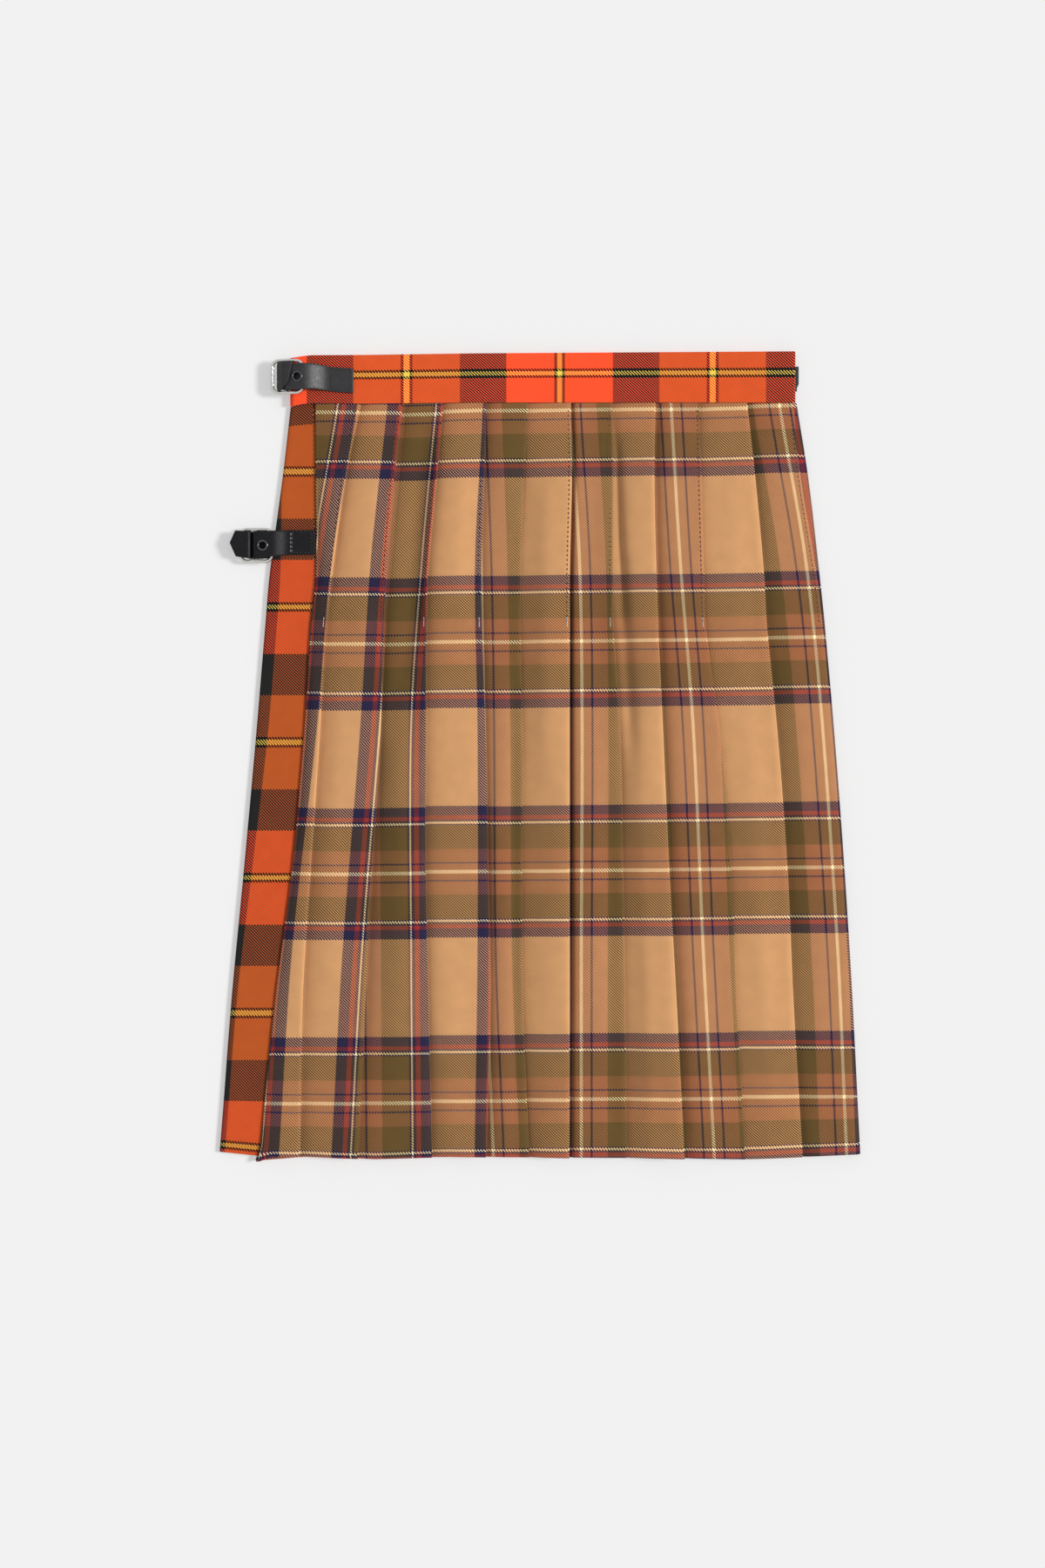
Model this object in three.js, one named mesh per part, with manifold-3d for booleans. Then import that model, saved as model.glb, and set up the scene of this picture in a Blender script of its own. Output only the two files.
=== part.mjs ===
// A pleated wrap kilt, buckled and lying flat on its front, with the pleated back up.
// Millimetres. +Z is up from the surface it lies on, +Y points to the waist, the origin is under its middle.
import * as THREE from 'three';
import { mergeVertices } from 'three/addons/utils/BufferGeometryUtils.js';
import Module from 'manifold-3d';

// The tables below are measured from a point this far from the middle of the whole outline
const MIDDLE = { x: 0.05, y: 0.6 };

// Cloth and clearances
const CLOTH = 1.0;                 // wool cloth, pressed
const BAND = 2.0;                  // waistband: two plies with a stiffener between
const LEATHER = 1.6;
const SKIVED = 1.0;                // leather thinned where it passes between the cloth layers
const GAP = 0.3;                   // between pieces that touch
const PITCH = CLOTH + GAP;         // from the middle of one cloth layer to the next

// Middle heights of the cloth layers, from the surface up
const FRONT_Z = CLOTH / 2;         // front apron
const UNDER_Z = FRONT_Z + PITCH;   // under apron
const BASE_Z = UNDER_Z + PITCH;    // lowest layer of the pleats, and the apron strip that wraps to the back
const FOLD_Z = BASE_Z + PITCH;     // the ply that runs back under each pleat
const FACE_Z = FOLD_Z + PITCH;     // the face of each pleat

// Middle heights of the waistband's three stretches
const BAND_FRONT_Z = BAND / 2;
const BAND_UNDER_Z = BAND_FRONT_Z + BAND + GAP;
const BAND_BACK_Z = BAND_UNDER_Z + BAND + GAP;
const BAND_TOP_Z = BAND_BACK_Z + BAND / 2;

// Pleats
const DEPTH_SHARE = 0.68;          // how far a pleat is folded under, as a share of its width
const EDGE_ROUND = 0.9;            // how far the round of a free edge reaches in from it
const RISE_START = 1.0;            // a face leaves the lowest layer this far from its neighbour's edge
const RISE_END = 0.9;              // and is up this far before its own fold under begins
const TURN_UNDER = 3.5;            // turned edge of the brown cloth where it lies on the orange strip
const STRIP_LAP = 4.0;             // how far the orange strip runs in under it
const FIRST_FOLD_CLEAR = 5.2;      // the first pleat's fold under stops this far from the turned edge
const UNDER_INSET = 26;            // left edge of the under apron, in from the left outline
const FRONT_INSET = 22;            // free edge of the front apron, in from the right outline
const LEVEL_STEPS = 8;             // steps across the front and under aprons
const LIFT_LENGTH = 9;             // width of the part of a face that lifts towards its free edge

// Heights at which the fold lines are measured
const HEIGHTS = {
  waist: 232.7, yoke: 185.8, hip: 120.8, release: 87.1,
  thigh: 10.6, mid: -78.2, low: -163.4, hem: -266.6,
};

// Side outlines: x at each height
const LEFT = {
  waist: -166.5, yoke: -171.7, hip: -180.4, release: -183.3,
  thigh: -189.7, mid: -197.8, low: -205.9, hem: -213.7,
};
const RIGHT = {
  waist: 171.1, yoke: 178.6, hip: 186.2, release: 189.7,
  thigh: 196.4, mid: 203.0, low: 208.2, hem: 213.3,
};

// One row for each fold line, from the brown cloth's left edge on: x at each height,
// and how far its free edge lifts at the hem
const EDGES = [
  { waist: -149.4, yoke: -149.1, hip: -149.1, release: -152.5,
    thigh: -157.2, mid: -165.3, low: -176.3, hem: -186.5, lift: 0.3 },
  { waist: -120.1, yoke: -129.6, hip: -138.6, release: -142.7,
    thigh: -147.0, mid: -153.1, low: -158.3, hem: -160.1, lift: 0.2 },
  { waist: -92.2, yoke: -97.4, hip: -102.7, release: -104.4,
    thigh: -106.7, mid: -112.8, low: -116.6, hem: -121.5, lift: 1.5 },
  { waist: -65.0, yoke: -69.0, hip: -74.8, release: -75.7,
    thigh: -76.3, mid: -76.3, low: -74.5, hem: -72.1, lift: 0.4 },
  { waist: -36.2, yoke: -37.7, hip: -39.4, release: -38.9,
    thigh: -36.5, mid: -34.8, low: -33.6, hem: -36.2, lift: 0.6 },
  { waist: -8.4, yoke: -11.0, hip: -13.3, release: -13.3,
    thigh: -11.7, mid: -12.2, low: -11.6, hem: -7.3, lift: 0.8 },
  { waist: 20.3, yoke: 20.9, hip: 19.5, release: 19.5,
    thigh: 19.3, mid: 19.4, low: 19.4, hem: 19.0, lift: 1.6 },
  { waist: 47.6, yoke: 48.1, hip: 48.1, release: 48.4,
    thigh: 53.1, mid: 54.8, low: 56.0, hem: 57.4, lift: 0.5 },
  { waist: 76.6, yoke: 75.7, hip: 77.1, release: 78.3,
    thigh: 81.8, mid: 85.8, low: 90.5, hem: 95.7, lift: 2.2 },
  { waist: 106.1, yoke: 107.3, hip: 109.0, release: 110.2,
    thigh: 120.1, mid: 127.0, low: 130.5, hem: 136.6, lift: 0.6 },
  { waist: 137.8, yoke: 143.0, hip: 148.9, release: 150.8,
    thigh: 158.3, mid: 164.7, low: 168.5, hem: 174.6, lift: 0.9 },
  { waist: 168.2, yoke: 173.4, hip: 183.9, release: 187.9,
    thigh: 194.8, mid: 201.4, low: 206.6, hem: 211.7, lift: 0.3 },
];

// Rows of the cloth meshes between the seam and the hem
const ROW_HEIGHTS = [205, 172, 140, 110, 80, 45, 5, -45, -100, -155, -212];

// The waistband's lower seam and upper edge, along its length
const BAND_SHAPE = [
  { x: -166.5, seam: 233.2, top: 264.9 },
  { x: -155.0, seam: 235.2, top: 267.0 },
  { x: -117.0, seam: 234.8, top: 267.2 },
  { x: -43.0, seam: 235.6, top: 268.3 },
  { x: 170.3, seam: 235.6, top: 269.6 },
];
const BAND_FRONT_END = 150;        // free end on the front apron
const BAND_UNDER_END = -145;       // free end on the under apron
const BAND_RIGHT = 170.3;
const BAND_LEFT = -166.5;

// Hem height along the width: each pleat's lower edge hangs a little differently
const HEM_SHAPE = [
  { x: -213.7, y: -263.4 }, { x: -186, y: -266.4 }, { x: -150, y: -266.8 }, { x: -110, y: -268.2 },
  { x: -60, y: -266.6 }, { x: 0, y: -267.0 }, { x: 70, y: -267.4 }, { x: 140, y: -268.4 },
  { x: 213.3, y: -265.0 },
];

// Straps and buckles. A fastening's middle is its strap's centre line at the tab's right end
// and at the frame, and returnEnd is how far the leather runs back under itself from the bar.
const STRAP_WIDTH = 16.4;
const STRAP_POINT = 3.9;           // how far the strap's point stands out past its corners
const STRAP_SKEW = 0.1;            // how far a strap's end strays sideways for each millimetre past the frame
const WIRE = 2.4;                  // diameter of the buckle frame's wire
const BAR = 2.0;                   // diameter of its middle bar
const FRAME_HALF = { x: 10.3, y: 10.6 };   // from the frame's centre to the middle of its wire
const FRAME_SQUARE = 3.6;          // 2 is an ellipse, more is squarer
const FRAME_STEPS = 32;
const WIRE_SIDES = 8;
const EYELET = { outer: 3.8, inner: 2.3, height: 0.9, sides: 20 };

const HIP = {
  name: 'hip', frame: { x: -189.0, y: 140.4, z: 5.5, tilt: 0 }, eyelet: -184.4,
  tab: { right: -149.9, left: -167.3, z: BASE_Z + CLOTH / 2 + GAP + LEATHER / 2 },
  middle: { right: 142.8, left: 140.6 }, returnEnd: 7.4,
};
const WAIST = {
  name: 'waist', frame: { x: -168.0, y: 252.4, z: 9.2, tilt: THREE.MathUtils.degToRad(10) }, eyelet: -160.8,
  tab: { right: -124.1, left: -139.2, z: BAND_TOP_Z + GAP + LEATHER / 2 },
  middle: { right: 250.1, left: 252.4 }, returnEnd: 6.6,
};
const SLIT_MARGIN = 0.9;           // how far a slit reaches past each side of the strap in it
const RIGHT_STRAP = { left: 150.3, right: 172.7, low: 243.4, high: 260.0, corner: 3 };

const wasm = await Module();
wasm.setup();

const garment = new THREE.Group();

const finishes = {
  brown: { color: 0xb28a60, roughness: 0.9, metalness: 0 },
  orange: { color: 0xd9582a, roughness: 0.9, metalness: 0 },
  leather: { color: 0x1c1b1b, roughness: 0.5, metalness: 0 },
  chrome: { color: 0xd8d2cb, roughness: 0.15, metalness: 1 },
};

function add(name, geometry, finish) {
  const mesh = new THREE.Mesh(geometry, new THREE.MeshStandardMaterial(finishes[finish]));
  mesh.name = name;
  garment.add(mesh);
}

// Smooth curve through the values of a row of a table, at height y
const heightNames = Object.keys(HEIGHTS);
const heightValues = Object.values(HEIGHTS);

function along(row, y) {
  const last = heightValues.length - 1;
  const k = Math.min(Math.max(heightValues.findIndex((h) => h <= y) - 1, 0), last - 1);
  const i = y <= heightValues[last] ? last - 1 : k;
  const value = (n) => row[heightNames[Math.min(Math.max(n, 0), last)]];
  const height = (n) => heightValues[Math.min(Math.max(n, 0), last)];
  const slope = (n) => (value(n + 1) - value(n - 1)) / (height(n + 1) - height(n - 1));
  const span = height(i + 1) - height(i);
  const s = (y - height(i)) / span;
  const a = (1 + 2 * s) * (1 - s) ** 2;
  const b = s * (1 - s) ** 2 * span;
  const c = s * s * (3 - 2 * s);
  const d = s * s * (s - 1) * span;
  return a * value(i) + b * slope(i) + c * value(i + 1) + d * slope(i + 1);
}

// Straight line through the rows of a table with a column x
function across(table, column, x) {
  const i = Math.min(Math.max(table.findIndex((row) => row.x >= x), 1), table.length - 1);
  const s = THREE.MathUtils.clamp((x - table[i - 1].x) / (table[i].x - table[i - 1].x), 0, 1);
  return THREE.MathUtils.lerp(table[i - 1][column], table[i][column], s);
}

// The middle line of a sheet in the x-z plane. Each point keeps its normal, to the left of the way along it.
class Line {
  constructor(half) {
    this.half = half;
    this.points = [];
  }

  point(x, z, headingX, headingZ) {
    const length = Math.hypot(headingX, headingZ);
    this.points.push({ x, z, nx: -headingZ / length, nz: headingX / length, half: this.half });
    return this;
  }

  // Straight stretch with its two ends and the steps between them
  straight(x0, z0, x1, z1, steps = 1) {
    for (let i = 0; i <= steps; i += 1) {
      const s = i / steps;
      this.point(x0 + (x1 - x0) * s, z0 + (z1 - z0) * s, x1 - x0, z1 - z0);
    }
    return this;
  }

  // Soft S-shaped stretch between two heights, without its ends
  rise(x0, z0, x1, z1, steps) {
    for (let i = 1; i < steps; i += 1) {
      const s = i / steps;
      const climb = (z1 - z0) * 6 * s * (1 - s);
      this.point(x0 + (x1 - x0) * s, z0 + (z1 - z0) * s * s * (3 - 2 * s), x1 - x0, climb);
    }
    return this;
  }

  // Part of an ellipse from one angle to another, in degrees, without its ends
  turn(x, z, radiusX, radiusZ, from, to, steps) {
    for (let i = 1; i < steps; i += 1) {
      const a = THREE.MathUtils.degToRad(from + ((to - from) * i) / steps);
      const way = Math.sign(to - from);
      const heading = { x: -way * radiusX * Math.sin(a), z: way * radiusZ * Math.cos(a) };
      this.point(x + radiusX * Math.cos(a), z + radiusZ * Math.sin(a), heading.x, heading.z);
    }
    return this;
  }
}

// Closed wall round the middle lines of a sheet, one line for each row
function wall(rows) {
  const count = rows[0].length;
  const positions = [];
  for (const row of rows) {
    for (const side of [1, -1]) {
      for (const p of row) {
        positions.push(p.x + side * p.half * p.nx, p.y, p.z + side * p.half * p.nz);
      }
    }
  }
  const at = (row, side, i) => (row * 2 + side) * count + i;
  const index = [];
  const quad = (a, b, c, d) => index.push(a, b, c, a, c, d);
  for (let r = 0; r < rows.length - 1; r += 1) {
    for (let i = 0; i < count - 1; i += 1) {
      quad(at(r, 0, i), at(r, 0, i + 1), at(r + 1, 0, i + 1), at(r + 1, 0, i));
      quad(at(r, 1, i + 1), at(r, 1, i), at(r + 1, 1, i), at(r + 1, 1, i + 1));
    }
    quad(at(r, 1, 0), at(r, 0, 0), at(r + 1, 0, 0), at(r + 1, 1, 0));
    quad(at(r, 0, count - 1), at(r, 1, count - 1), at(r + 1, 1, count - 1), at(r + 1, 0, count - 1));
  }
  const lastRow = rows.length - 1;
  for (let i = 0; i < count - 1; i += 1) {
    quad(at(0, 0, i + 1), at(0, 0, i), at(0, 1, i), at(0, 1, i + 1));
    quad(at(lastRow, 0, i), at(lastRow, 0, i + 1), at(lastRow, 1, i + 1), at(lastRow, 1, i));
  }
  return outward(positions, index);
}

// Geometry with its faces turned outwards, whichever way the rows ran
function outward(positions, index) {
  const corner = (i) => new THREE.Vector3().fromArray(positions, index[i] * 3);
  let volume = 0;
  for (let i = 0; i < index.length; i += 3) {
    volume += corner(i).dot(corner(i + 1).cross(corner(i + 2))) / 6;
  }
  if (volume < 0) index.reverse();
  const geometry = new THREE.BufferGeometry();
  geometry.setAttribute('position', new THREE.Float32BufferAttribute(positions, 3));
  geometry.setIndex(index);
  return geometry;
}

// Solids for cuts and joins
function solid(geometry) {
  const bare = geometry.clone();
  bare.deleteAttribute('normal');
  bare.deleteAttribute('uv');
  const merged = mergeVertices(bare);
  return new wasm.Manifold(new wasm.Mesh({
    numProp: 3,
    vertProperties: merged.attributes.position.array,
    triVerts: new Uint32Array(merged.index.array),
  }));
}

function geometryOf(body) {
  const mesh = body.getMesh();
  const geometry = new THREE.BufferGeometry();
  geometry.setAttribute('position', new THREE.BufferAttribute(new Float32Array(mesh.vertProperties), 3));
  geometry.setIndex(new THREE.BufferAttribute(new Uint32Array(mesh.triVerts), 1));
  return geometry;
}

function block(x0, x1, y0, y1, z0, z1) {
  const box = new THREE.BoxGeometry(x1 - x0, y1 - y0, z1 - z0);
  return box.translate((x0 + x1) / 2, (y0 + y1) / 2, (z0 + z1) / 2);
}

// Rows of a cloth from the waist seam to the hem, with a line worked out at each height
function clothRows(lineAt) {
  const seam = (p) => across(BAND_SHAPE, 'seam', p.x) - GAP;
  const hem = (p) => across(HEM_SHAPE, 'y', p.x);
  const levels = [
    { height: HEIGHTS.waist + 2, y: seam },
    ...ROW_HEIGHTS.map((height) => ({ height, y: () => height })),
    { height: HEIGHTS.hem, y: hem },
  ];
  return levels.map(({ height, y }) => lineAt(height).points.map((p) => ({ ...p, y: y(p) })));
}

// How far a free edge lifts at a height: nothing where it is stitched down, all of it at the hem
function liftAt(row, y) {
  const s = THREE.MathUtils.clamp((HEIGHTS.release - y) / (HEIGHTS.release - HEIGHTS.hem), 0, 1);
  return row.lift * Math.sqrt(s);
}

// The brown cloth: turned left edge, pleats, right side fold, then back to the left as the under apron
function brownLine(y) {
  const line = new Line(CLOTH / 2);
  const half = PITCH / 2;
  const edges = EDGES.map((row) => along(row, y));
  line.straight(edges[0] + TURN_UNDER, FOLD_Z, edges[0] + half, FOLD_Z);
  line.turn(edges[0] + half, FOLD_Z + half, half, half, 270, 90, 3);
  line.point(edges[0] + half, FACE_Z, 1, 0);
  for (let i = 1; i < edges.length; i += 1) {
    const edge = edges[i];
    const width = edge - edges[i - 1];
    const depth = Math.min(DEPTH_SHARE * width, i > 1 ? width : width - FIRST_FOLD_CLEAR);
    const inner = edge - depth + half;
    const lift = liftAt(EDGES[i], y);
    const reach = (FACE_Z + lift - FOLD_Z) / 2;
    if (i > 1) {
      const riseFrom = edges[i - 1] + RISE_START;
      const riseTo = edge - depth - RISE_END;
      line.point(riseFrom, BASE_Z, 1, 0);
      line.rise(riseFrom, BASE_Z, riseTo, FACE_Z, 4);
      line.point(riseTo, FACE_Z, 1, 0);
    }
    line.point(edge - Math.min(LIFT_LENGTH, width * 0.3), FACE_Z + lift * 0.25, LIFT_LENGTH, lift);
    line.point(edge - EDGE_ROUND, FACE_Z + lift, 1, 0);
    line.turn(edge - EDGE_ROUND, FOLD_Z + reach, EDGE_ROUND, reach, 90, -90, 4);
    line.point(edge - EDGE_ROUND, FOLD_Z, -1, 0);
    line.point(inner, FOLD_Z, -1, 0);
    line.turn(inner, BASE_Z + half, half, half, 90, 270, 2);
    line.point(inner, BASE_Z, 1, 0);
  }
  const right = along(RIGHT, y);
  const underEdge = along(LEFT, y) + UNDER_INSET;
  line.point(right - half, BASE_Z, 1, 0);
  line.turn(right - half, UNDER_Z + half, half, half, 90, -90, 4);
  line.straight(right - half, UNDER_Z, underEdge, UNDER_Z, LEVEL_STEPS);
  return line;
}

// The orange front apron: flat on the surface, folded round the left side, its strip on the back
function apronLine(y) {
  const left = along(LEFT, y);
  const round = (BASE_Z - FRONT_Z) / 2;
  const turnAt = left + CLOTH / 2 + round;
  const line = new Line(CLOTH / 2);
  line.straight(along(RIGHT, y) - FRONT_INSET, FRONT_Z, turnAt, FRONT_Z, LEVEL_STEPS);
  line.turn(turnAt, FRONT_Z + round, round, round, 270, 90, 6);
  line.straight(turnAt, BASE_Z, along(EDGES[0], y) + STRIP_LAP, BASE_Z, 2);
  return line;
}

// Level stretch with a point wherever the waistband's shape turns
function stretch(line, from, to, z) {
  const way = Math.sign(to - from);
  const turns = BAND_SHAPE.map((row) => row.x).filter((x) => (x - from) * way > 0 && (to - x) * way > 0);
  const stations = [from, ...turns.sort((a, b) => (a - b) * way), to];
  stations.forEach((x) => line.point(x, z, way, 0));
}

// The waistband: front stretch, round the left end, back stretch, round the right end, under stretch
function bandLine() {
  const leftRound = (BAND_BACK_Z - BAND_FRONT_Z) / 2;
  const rightRound = (BAND_BACK_Z - BAND_UNDER_Z) / 2;
  const leftAt = BAND_LEFT + BAND / 2 + leftRound;
  const rightAt = BAND_RIGHT - BAND / 2 - rightRound;
  const line = new Line(BAND / 2);
  stretch(line, BAND_FRONT_END, leftAt, BAND_FRONT_Z);
  line.turn(leftAt, BAND_FRONT_Z + leftRound, leftRound, leftRound, 270, 90, 6);
  stretch(line, leftAt, rightAt, BAND_BACK_Z);
  line.turn(rightAt, BAND_UNDER_Z + rightRound, rightRound, rightRound, 90, -90, 6);
  stretch(line, rightAt, BAND_UNDER_END, BAND_UNDER_Z);
  return line;
}

function bandRows() {
  const { points } = bandLine();
  const edge = (column) => points.map((p) => ({ ...p, y: across(BAND_SHAPE, column, p.x) }));
  return [edge('seam'), edge('top')];
}

// Rows across a strap's width: v runs from -1 to 1, middle(x) is its centre line seen from above
function strapRows(line, middle, tip = () => 0) {
  const last = line.points.length - 1;
  return [-1, 0, 1].map((v) => line.points.map((p, i) => ({
    ...p, x: i === last ? p.x + tip(v) : p.x, y: middle(p.x) + (v * STRAP_WIDTH) / 2,
  })));
}

// Leather sewn down at its right end, up over the frame's near side, round the bar and back under itself
function chape({ frame, tab, middle, returnEnd }) {
  const degrees = THREE.MathUtils.radToDeg(frame.tilt);
  const wrap = BAR / 2 + GAP + LEATHER / 2;
  const over = WIRE / 2 + GAP + LEATHER / 2;
  const ahead = { x: Math.cos(frame.tilt), z: Math.sin(frame.tilt) };
  const off = (distance, height) => ({
    x: frame.x + ahead.x * distance - ahead.z * height, z: frame.z + ahead.z * distance + ahead.x * height,
  });
  const crest = off(FRAME_HALF.x, over);
  const start = off(0, wrap);
  const below = off(0, -wrap);
  const end = off(returnEnd, -wrap);
  const line = new Line(LEATHER / 2);
  line.straight(tab.right, tab.z, tab.left, tab.z);
  line.rise(tab.left, tab.z, crest.x, crest.z, 5);
  line.point(crest.x, crest.z, -1, 0);
  line.point(start.x, start.z, -ahead.x, -ahead.z);
  line.turn(frame.x, frame.z, wrap, wrap, 90 + degrees, 270 + degrees, 6);
  line.straight(below.x, below.z, end.x, end.z);
  const slope = (middle.right - middle.left) / (tab.right - frame.x);
  return wall(strapRows(line, (x) => middle.left + slope * (x - frame.x)));
}

// Round-cornered frame of wire with a bar across its middle
function frameSolid({ frame }) {
  const positions = [];
  const index = [];
  const round = (value) => Math.sign(value) * Math.abs(value) ** (2 / FRAME_SQUARE);
  const place = (step) => {
    const a = (step / FRAME_STEPS) * Math.PI * 2;
    return new THREE.Vector3(FRAME_HALF.x * round(Math.cos(a)), FRAME_HALF.y * round(Math.sin(a)), 0);
  };
  for (let i = 0; i < FRAME_STEPS; i += 1) {
    const here = place(i);
    const way = place(i + 1).sub(place(i - 1)).normalize();
    const out = new THREE.Vector3(way.y, -way.x, 0);
    for (let j = 0; j < WIRE_SIDES; j += 1) {
      const b = (j / WIRE_SIDES) * Math.PI * 2;
      const p = here.clone().addScaledVector(out, (Math.cos(b) * WIRE) / 2);
      positions.push(p.x, p.y, (Math.sin(b) * WIRE) / 2);
      const next = [((i + 1) % FRAME_STEPS) * WIRE_SIDES, (j + 1) % WIRE_SIDES];
      const a0 = i * WIRE_SIDES + j;
      const a1 = i * WIRE_SIDES + next[1];
      index.push(a0, next[0] + j, next[0] + next[1], a0, next[0] + next[1], a1);
    }
  }
  const ring = solid(outward(positions, index));
  const bar = solid(new THREE.CylinderGeometry(BAR / 2, BAR / 2, FRAME_HALF.y * 2, WIRE_SIDES));
  const joined = geometryOf(ring.add(bar));
  return joined.rotateY(-frame.tilt).translate(frame.x, frame.y, frame.z);
}

// Metal ring pressed into the leather between the bar and the frame's near side
function eyelet({ frame, eyelet: x }) {
  const { outer, inner, height, sides } = EYELET;
  const crown = (outer + inner) / 2;
  const shoulder = height * 0.45;
  const profile = [[inner, 0], [outer, 0], [outer, shoulder], [crown, height], [inner, shoulder], [inner, 0]];
  const ring = new THREE.LatheGeometry(profile.map(([r, h]) => new THREE.Vector2(r, h)), sides);
  const above = WIRE / 2 + GAP + LEATHER + GAP;
  const distance = (x - frame.x) / Math.cos(frame.tilt);
  ring.rotateX(Math.PI / 2).translate(distance, 0, above).rotateY(-frame.tilt);
  ring.translate(frame.x, frame.y, frame.z);
  return geometryOf(solid(ring));
}

// Hip strap: from the under apron out of the slit, under the bar, up through the frame and over its far side
function hipStrap() {
  const { frame } = HIP;
  const innerEnd = along(LEFT, frame.y - STRAP_WIDTH * 0.6) + UNDER_INSET - GAP;
  const slit = along(LEFT, frame.y);
  const low = 1.5;                 // middle height of the strap under the frame
  const upX = frame.x - 4.1;       // where it stands upright beside the bar
  const topZ = frame.z + WIRE / 2 + GAP + LEATHER / 2;
  const turnLow = 2.2;
  const turnHigh = 1.5;
  const tip = -206.5;              // the strap's point
  const line = new Line(SKIVED / 2);
  line.straight(innerEnd, UNDER_Z, slit - 0.5, UNDER_Z);
  line.half = LEATHER / 2;
  line.straight(slit - 3.5, low, upX + turnLow, low);
  line.turn(upX + turnLow, low + turnLow, turnLow, turnLow, 270, 180, 3);
  line.straight(upX, low + turnLow, upX, topZ - turnHigh);
  line.turn(upX - turnHigh, topZ - turnHigh, turnHigh, turnHigh, 0, 90, 3);
  line.straight(upX - turnHigh, topZ, tip, topZ - 0.2, 2);
  const middle = (x) => (x > upX ? frame.y : frame.y + (upX - x) * STRAP_SKEW);
  return wall(strapRows(line, middle, (v) => Math.abs(v) * STRAP_POINT));
}

// Waist strap: from the under stretch of the band out of its end, up inside the frame,
// its point leaning back over the bar
function waistStrap() {
  const { frame } = WAIST;
  const innerEnd = BAND_UNDER_END - GAP;
  const upX = frame.x - 6.4;
  const turnLow = 2.3;
  const turnHigh = 2.0;
  const lean = 48;                 // degrees turned from upright before it levels off
  const low = BAND_UNDER_Z;
  const upZ = frame.z - 1.6;
  const tip = { x: -165.8, z: 14.5 };
  const line = new Line(LEATHER / 2);
  line.straight(innerEnd, low, upX + turnLow, low, 2);
  line.turn(upX + turnLow, low + turnLow, turnLow, turnLow, 270, 180, 3);
  line.point(upX, low + turnLow, 0, 1);
  line.point(upX, upZ, 0, 1);
  line.turn(upX + turnHigh, upZ, turnHigh, turnHigh, 180, 180 - lean, 2);
  const a = THREE.MathUtils.degToRad(180 - lean);
  const bend = { x: upX + turnHigh + turnHigh * Math.cos(a), z: upZ + turnHigh * Math.sin(a) };
  const way = { x: Math.sin(a), z: -Math.cos(a) };
  line.point(bend.x, bend.z, way.x, way.z);
  line.point(bend.x + way.x * 5.2, bend.z + way.z * 5.2, way.x, way.z * 0.7);
  line.point(tip.x, tip.z, 1, 0.1);
  const middle = (x) => (x > BAND_LEFT ? frame.y : frame.y + (x - upX) * STRAP_SKEW);
  const rows = strapRows(line, middle, (v) => -Math.abs(v) * STRAP_POINT * 0.6);
  const inside = strapRows(line, () => frame.y);
  return wall(rows.map((row, r) => row.map((p, i) => (i < 3 ? inside[r][i] : p))));
}

// Short strap on the front apron's end of the waistband: its round end shows past the right side
function rightStrap() {
  const { left, right, low, high, corner } = RIGHT_STRAP;
  const shape = new THREE.Shape();
  shape.moveTo(left, low);
  shape.lineTo(right - corner, low);
  shape.quadraticCurveTo(right, low, right, low + corner);
  shape.lineTo(right, high - corner);
  shape.quadraticCurveTo(right, high, right - corner, high);
  shape.lineTo(left, high);
  return new THREE.ExtrudeGeometry(shape, { depth: LEATHER, bevelEnabled: false, curveSegments: 4 });
}

// A slit through the left fold of a cloth, for the strap that comes out there
function withSlit(geometry, x, middle, z, height) {
  const reach = STRAP_WIDTH / 2 + SLIT_MARGIN;
  const cut = block(x - 4, x + 6, middle - reach, middle + reach, z - height / 2, z + height / 2);
  return geometryOf(solid(geometry).subtract(solid(cut)));
}

const apron = wall(clothRows(apronLine));
const hipSlit = { x: along(LEFT, HIP.frame.y), height: SKIVED + GAP };
const band = wall(bandRows());

add('pleated_cloth', wall(clothRows(brownLine)), 'brown');
add('front_apron', withSlit(apron, hipSlit.x, HIP.frame.y, UNDER_Z, hipSlit.height), 'orange');
add('waistband', withSlit(band, BAND_LEFT, WAIST.frame.y, BAND_UNDER_Z, BAND), 'orange');
for (const fastening of [HIP, WAIST]) {
  add(`${fastening.name}_chape`, chape(fastening), 'leather');
  add(`${fastening.name}_buckle`, frameSolid(fastening), 'chrome');
  add(`${fastening.name}_eyelet`, eyelet(fastening), 'chrome');
}
add('hip_strap', hipStrap(), 'leather');
add('waist_strap', waistStrap(), 'leather');
add('right_strap', rightStrap(), 'leather');

garment.position.set(-MIDDLE.x, -MIDDLE.y, 0);

export default garment;
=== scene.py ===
"""A pleated wrap kilt, buckled and lying flat with its back up: its cloth, sewing, leather and metal.

The tables are in millimetres, measured from a point that lies MIDDLE away from the middle of the whole
outline: x runs across the kilt, y towards the waist, z up from the surface. The meshes are in metres.
"""

import logging
import math
from collections.abc import Callable
from dataclasses import dataclass
from enum import Enum

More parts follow.
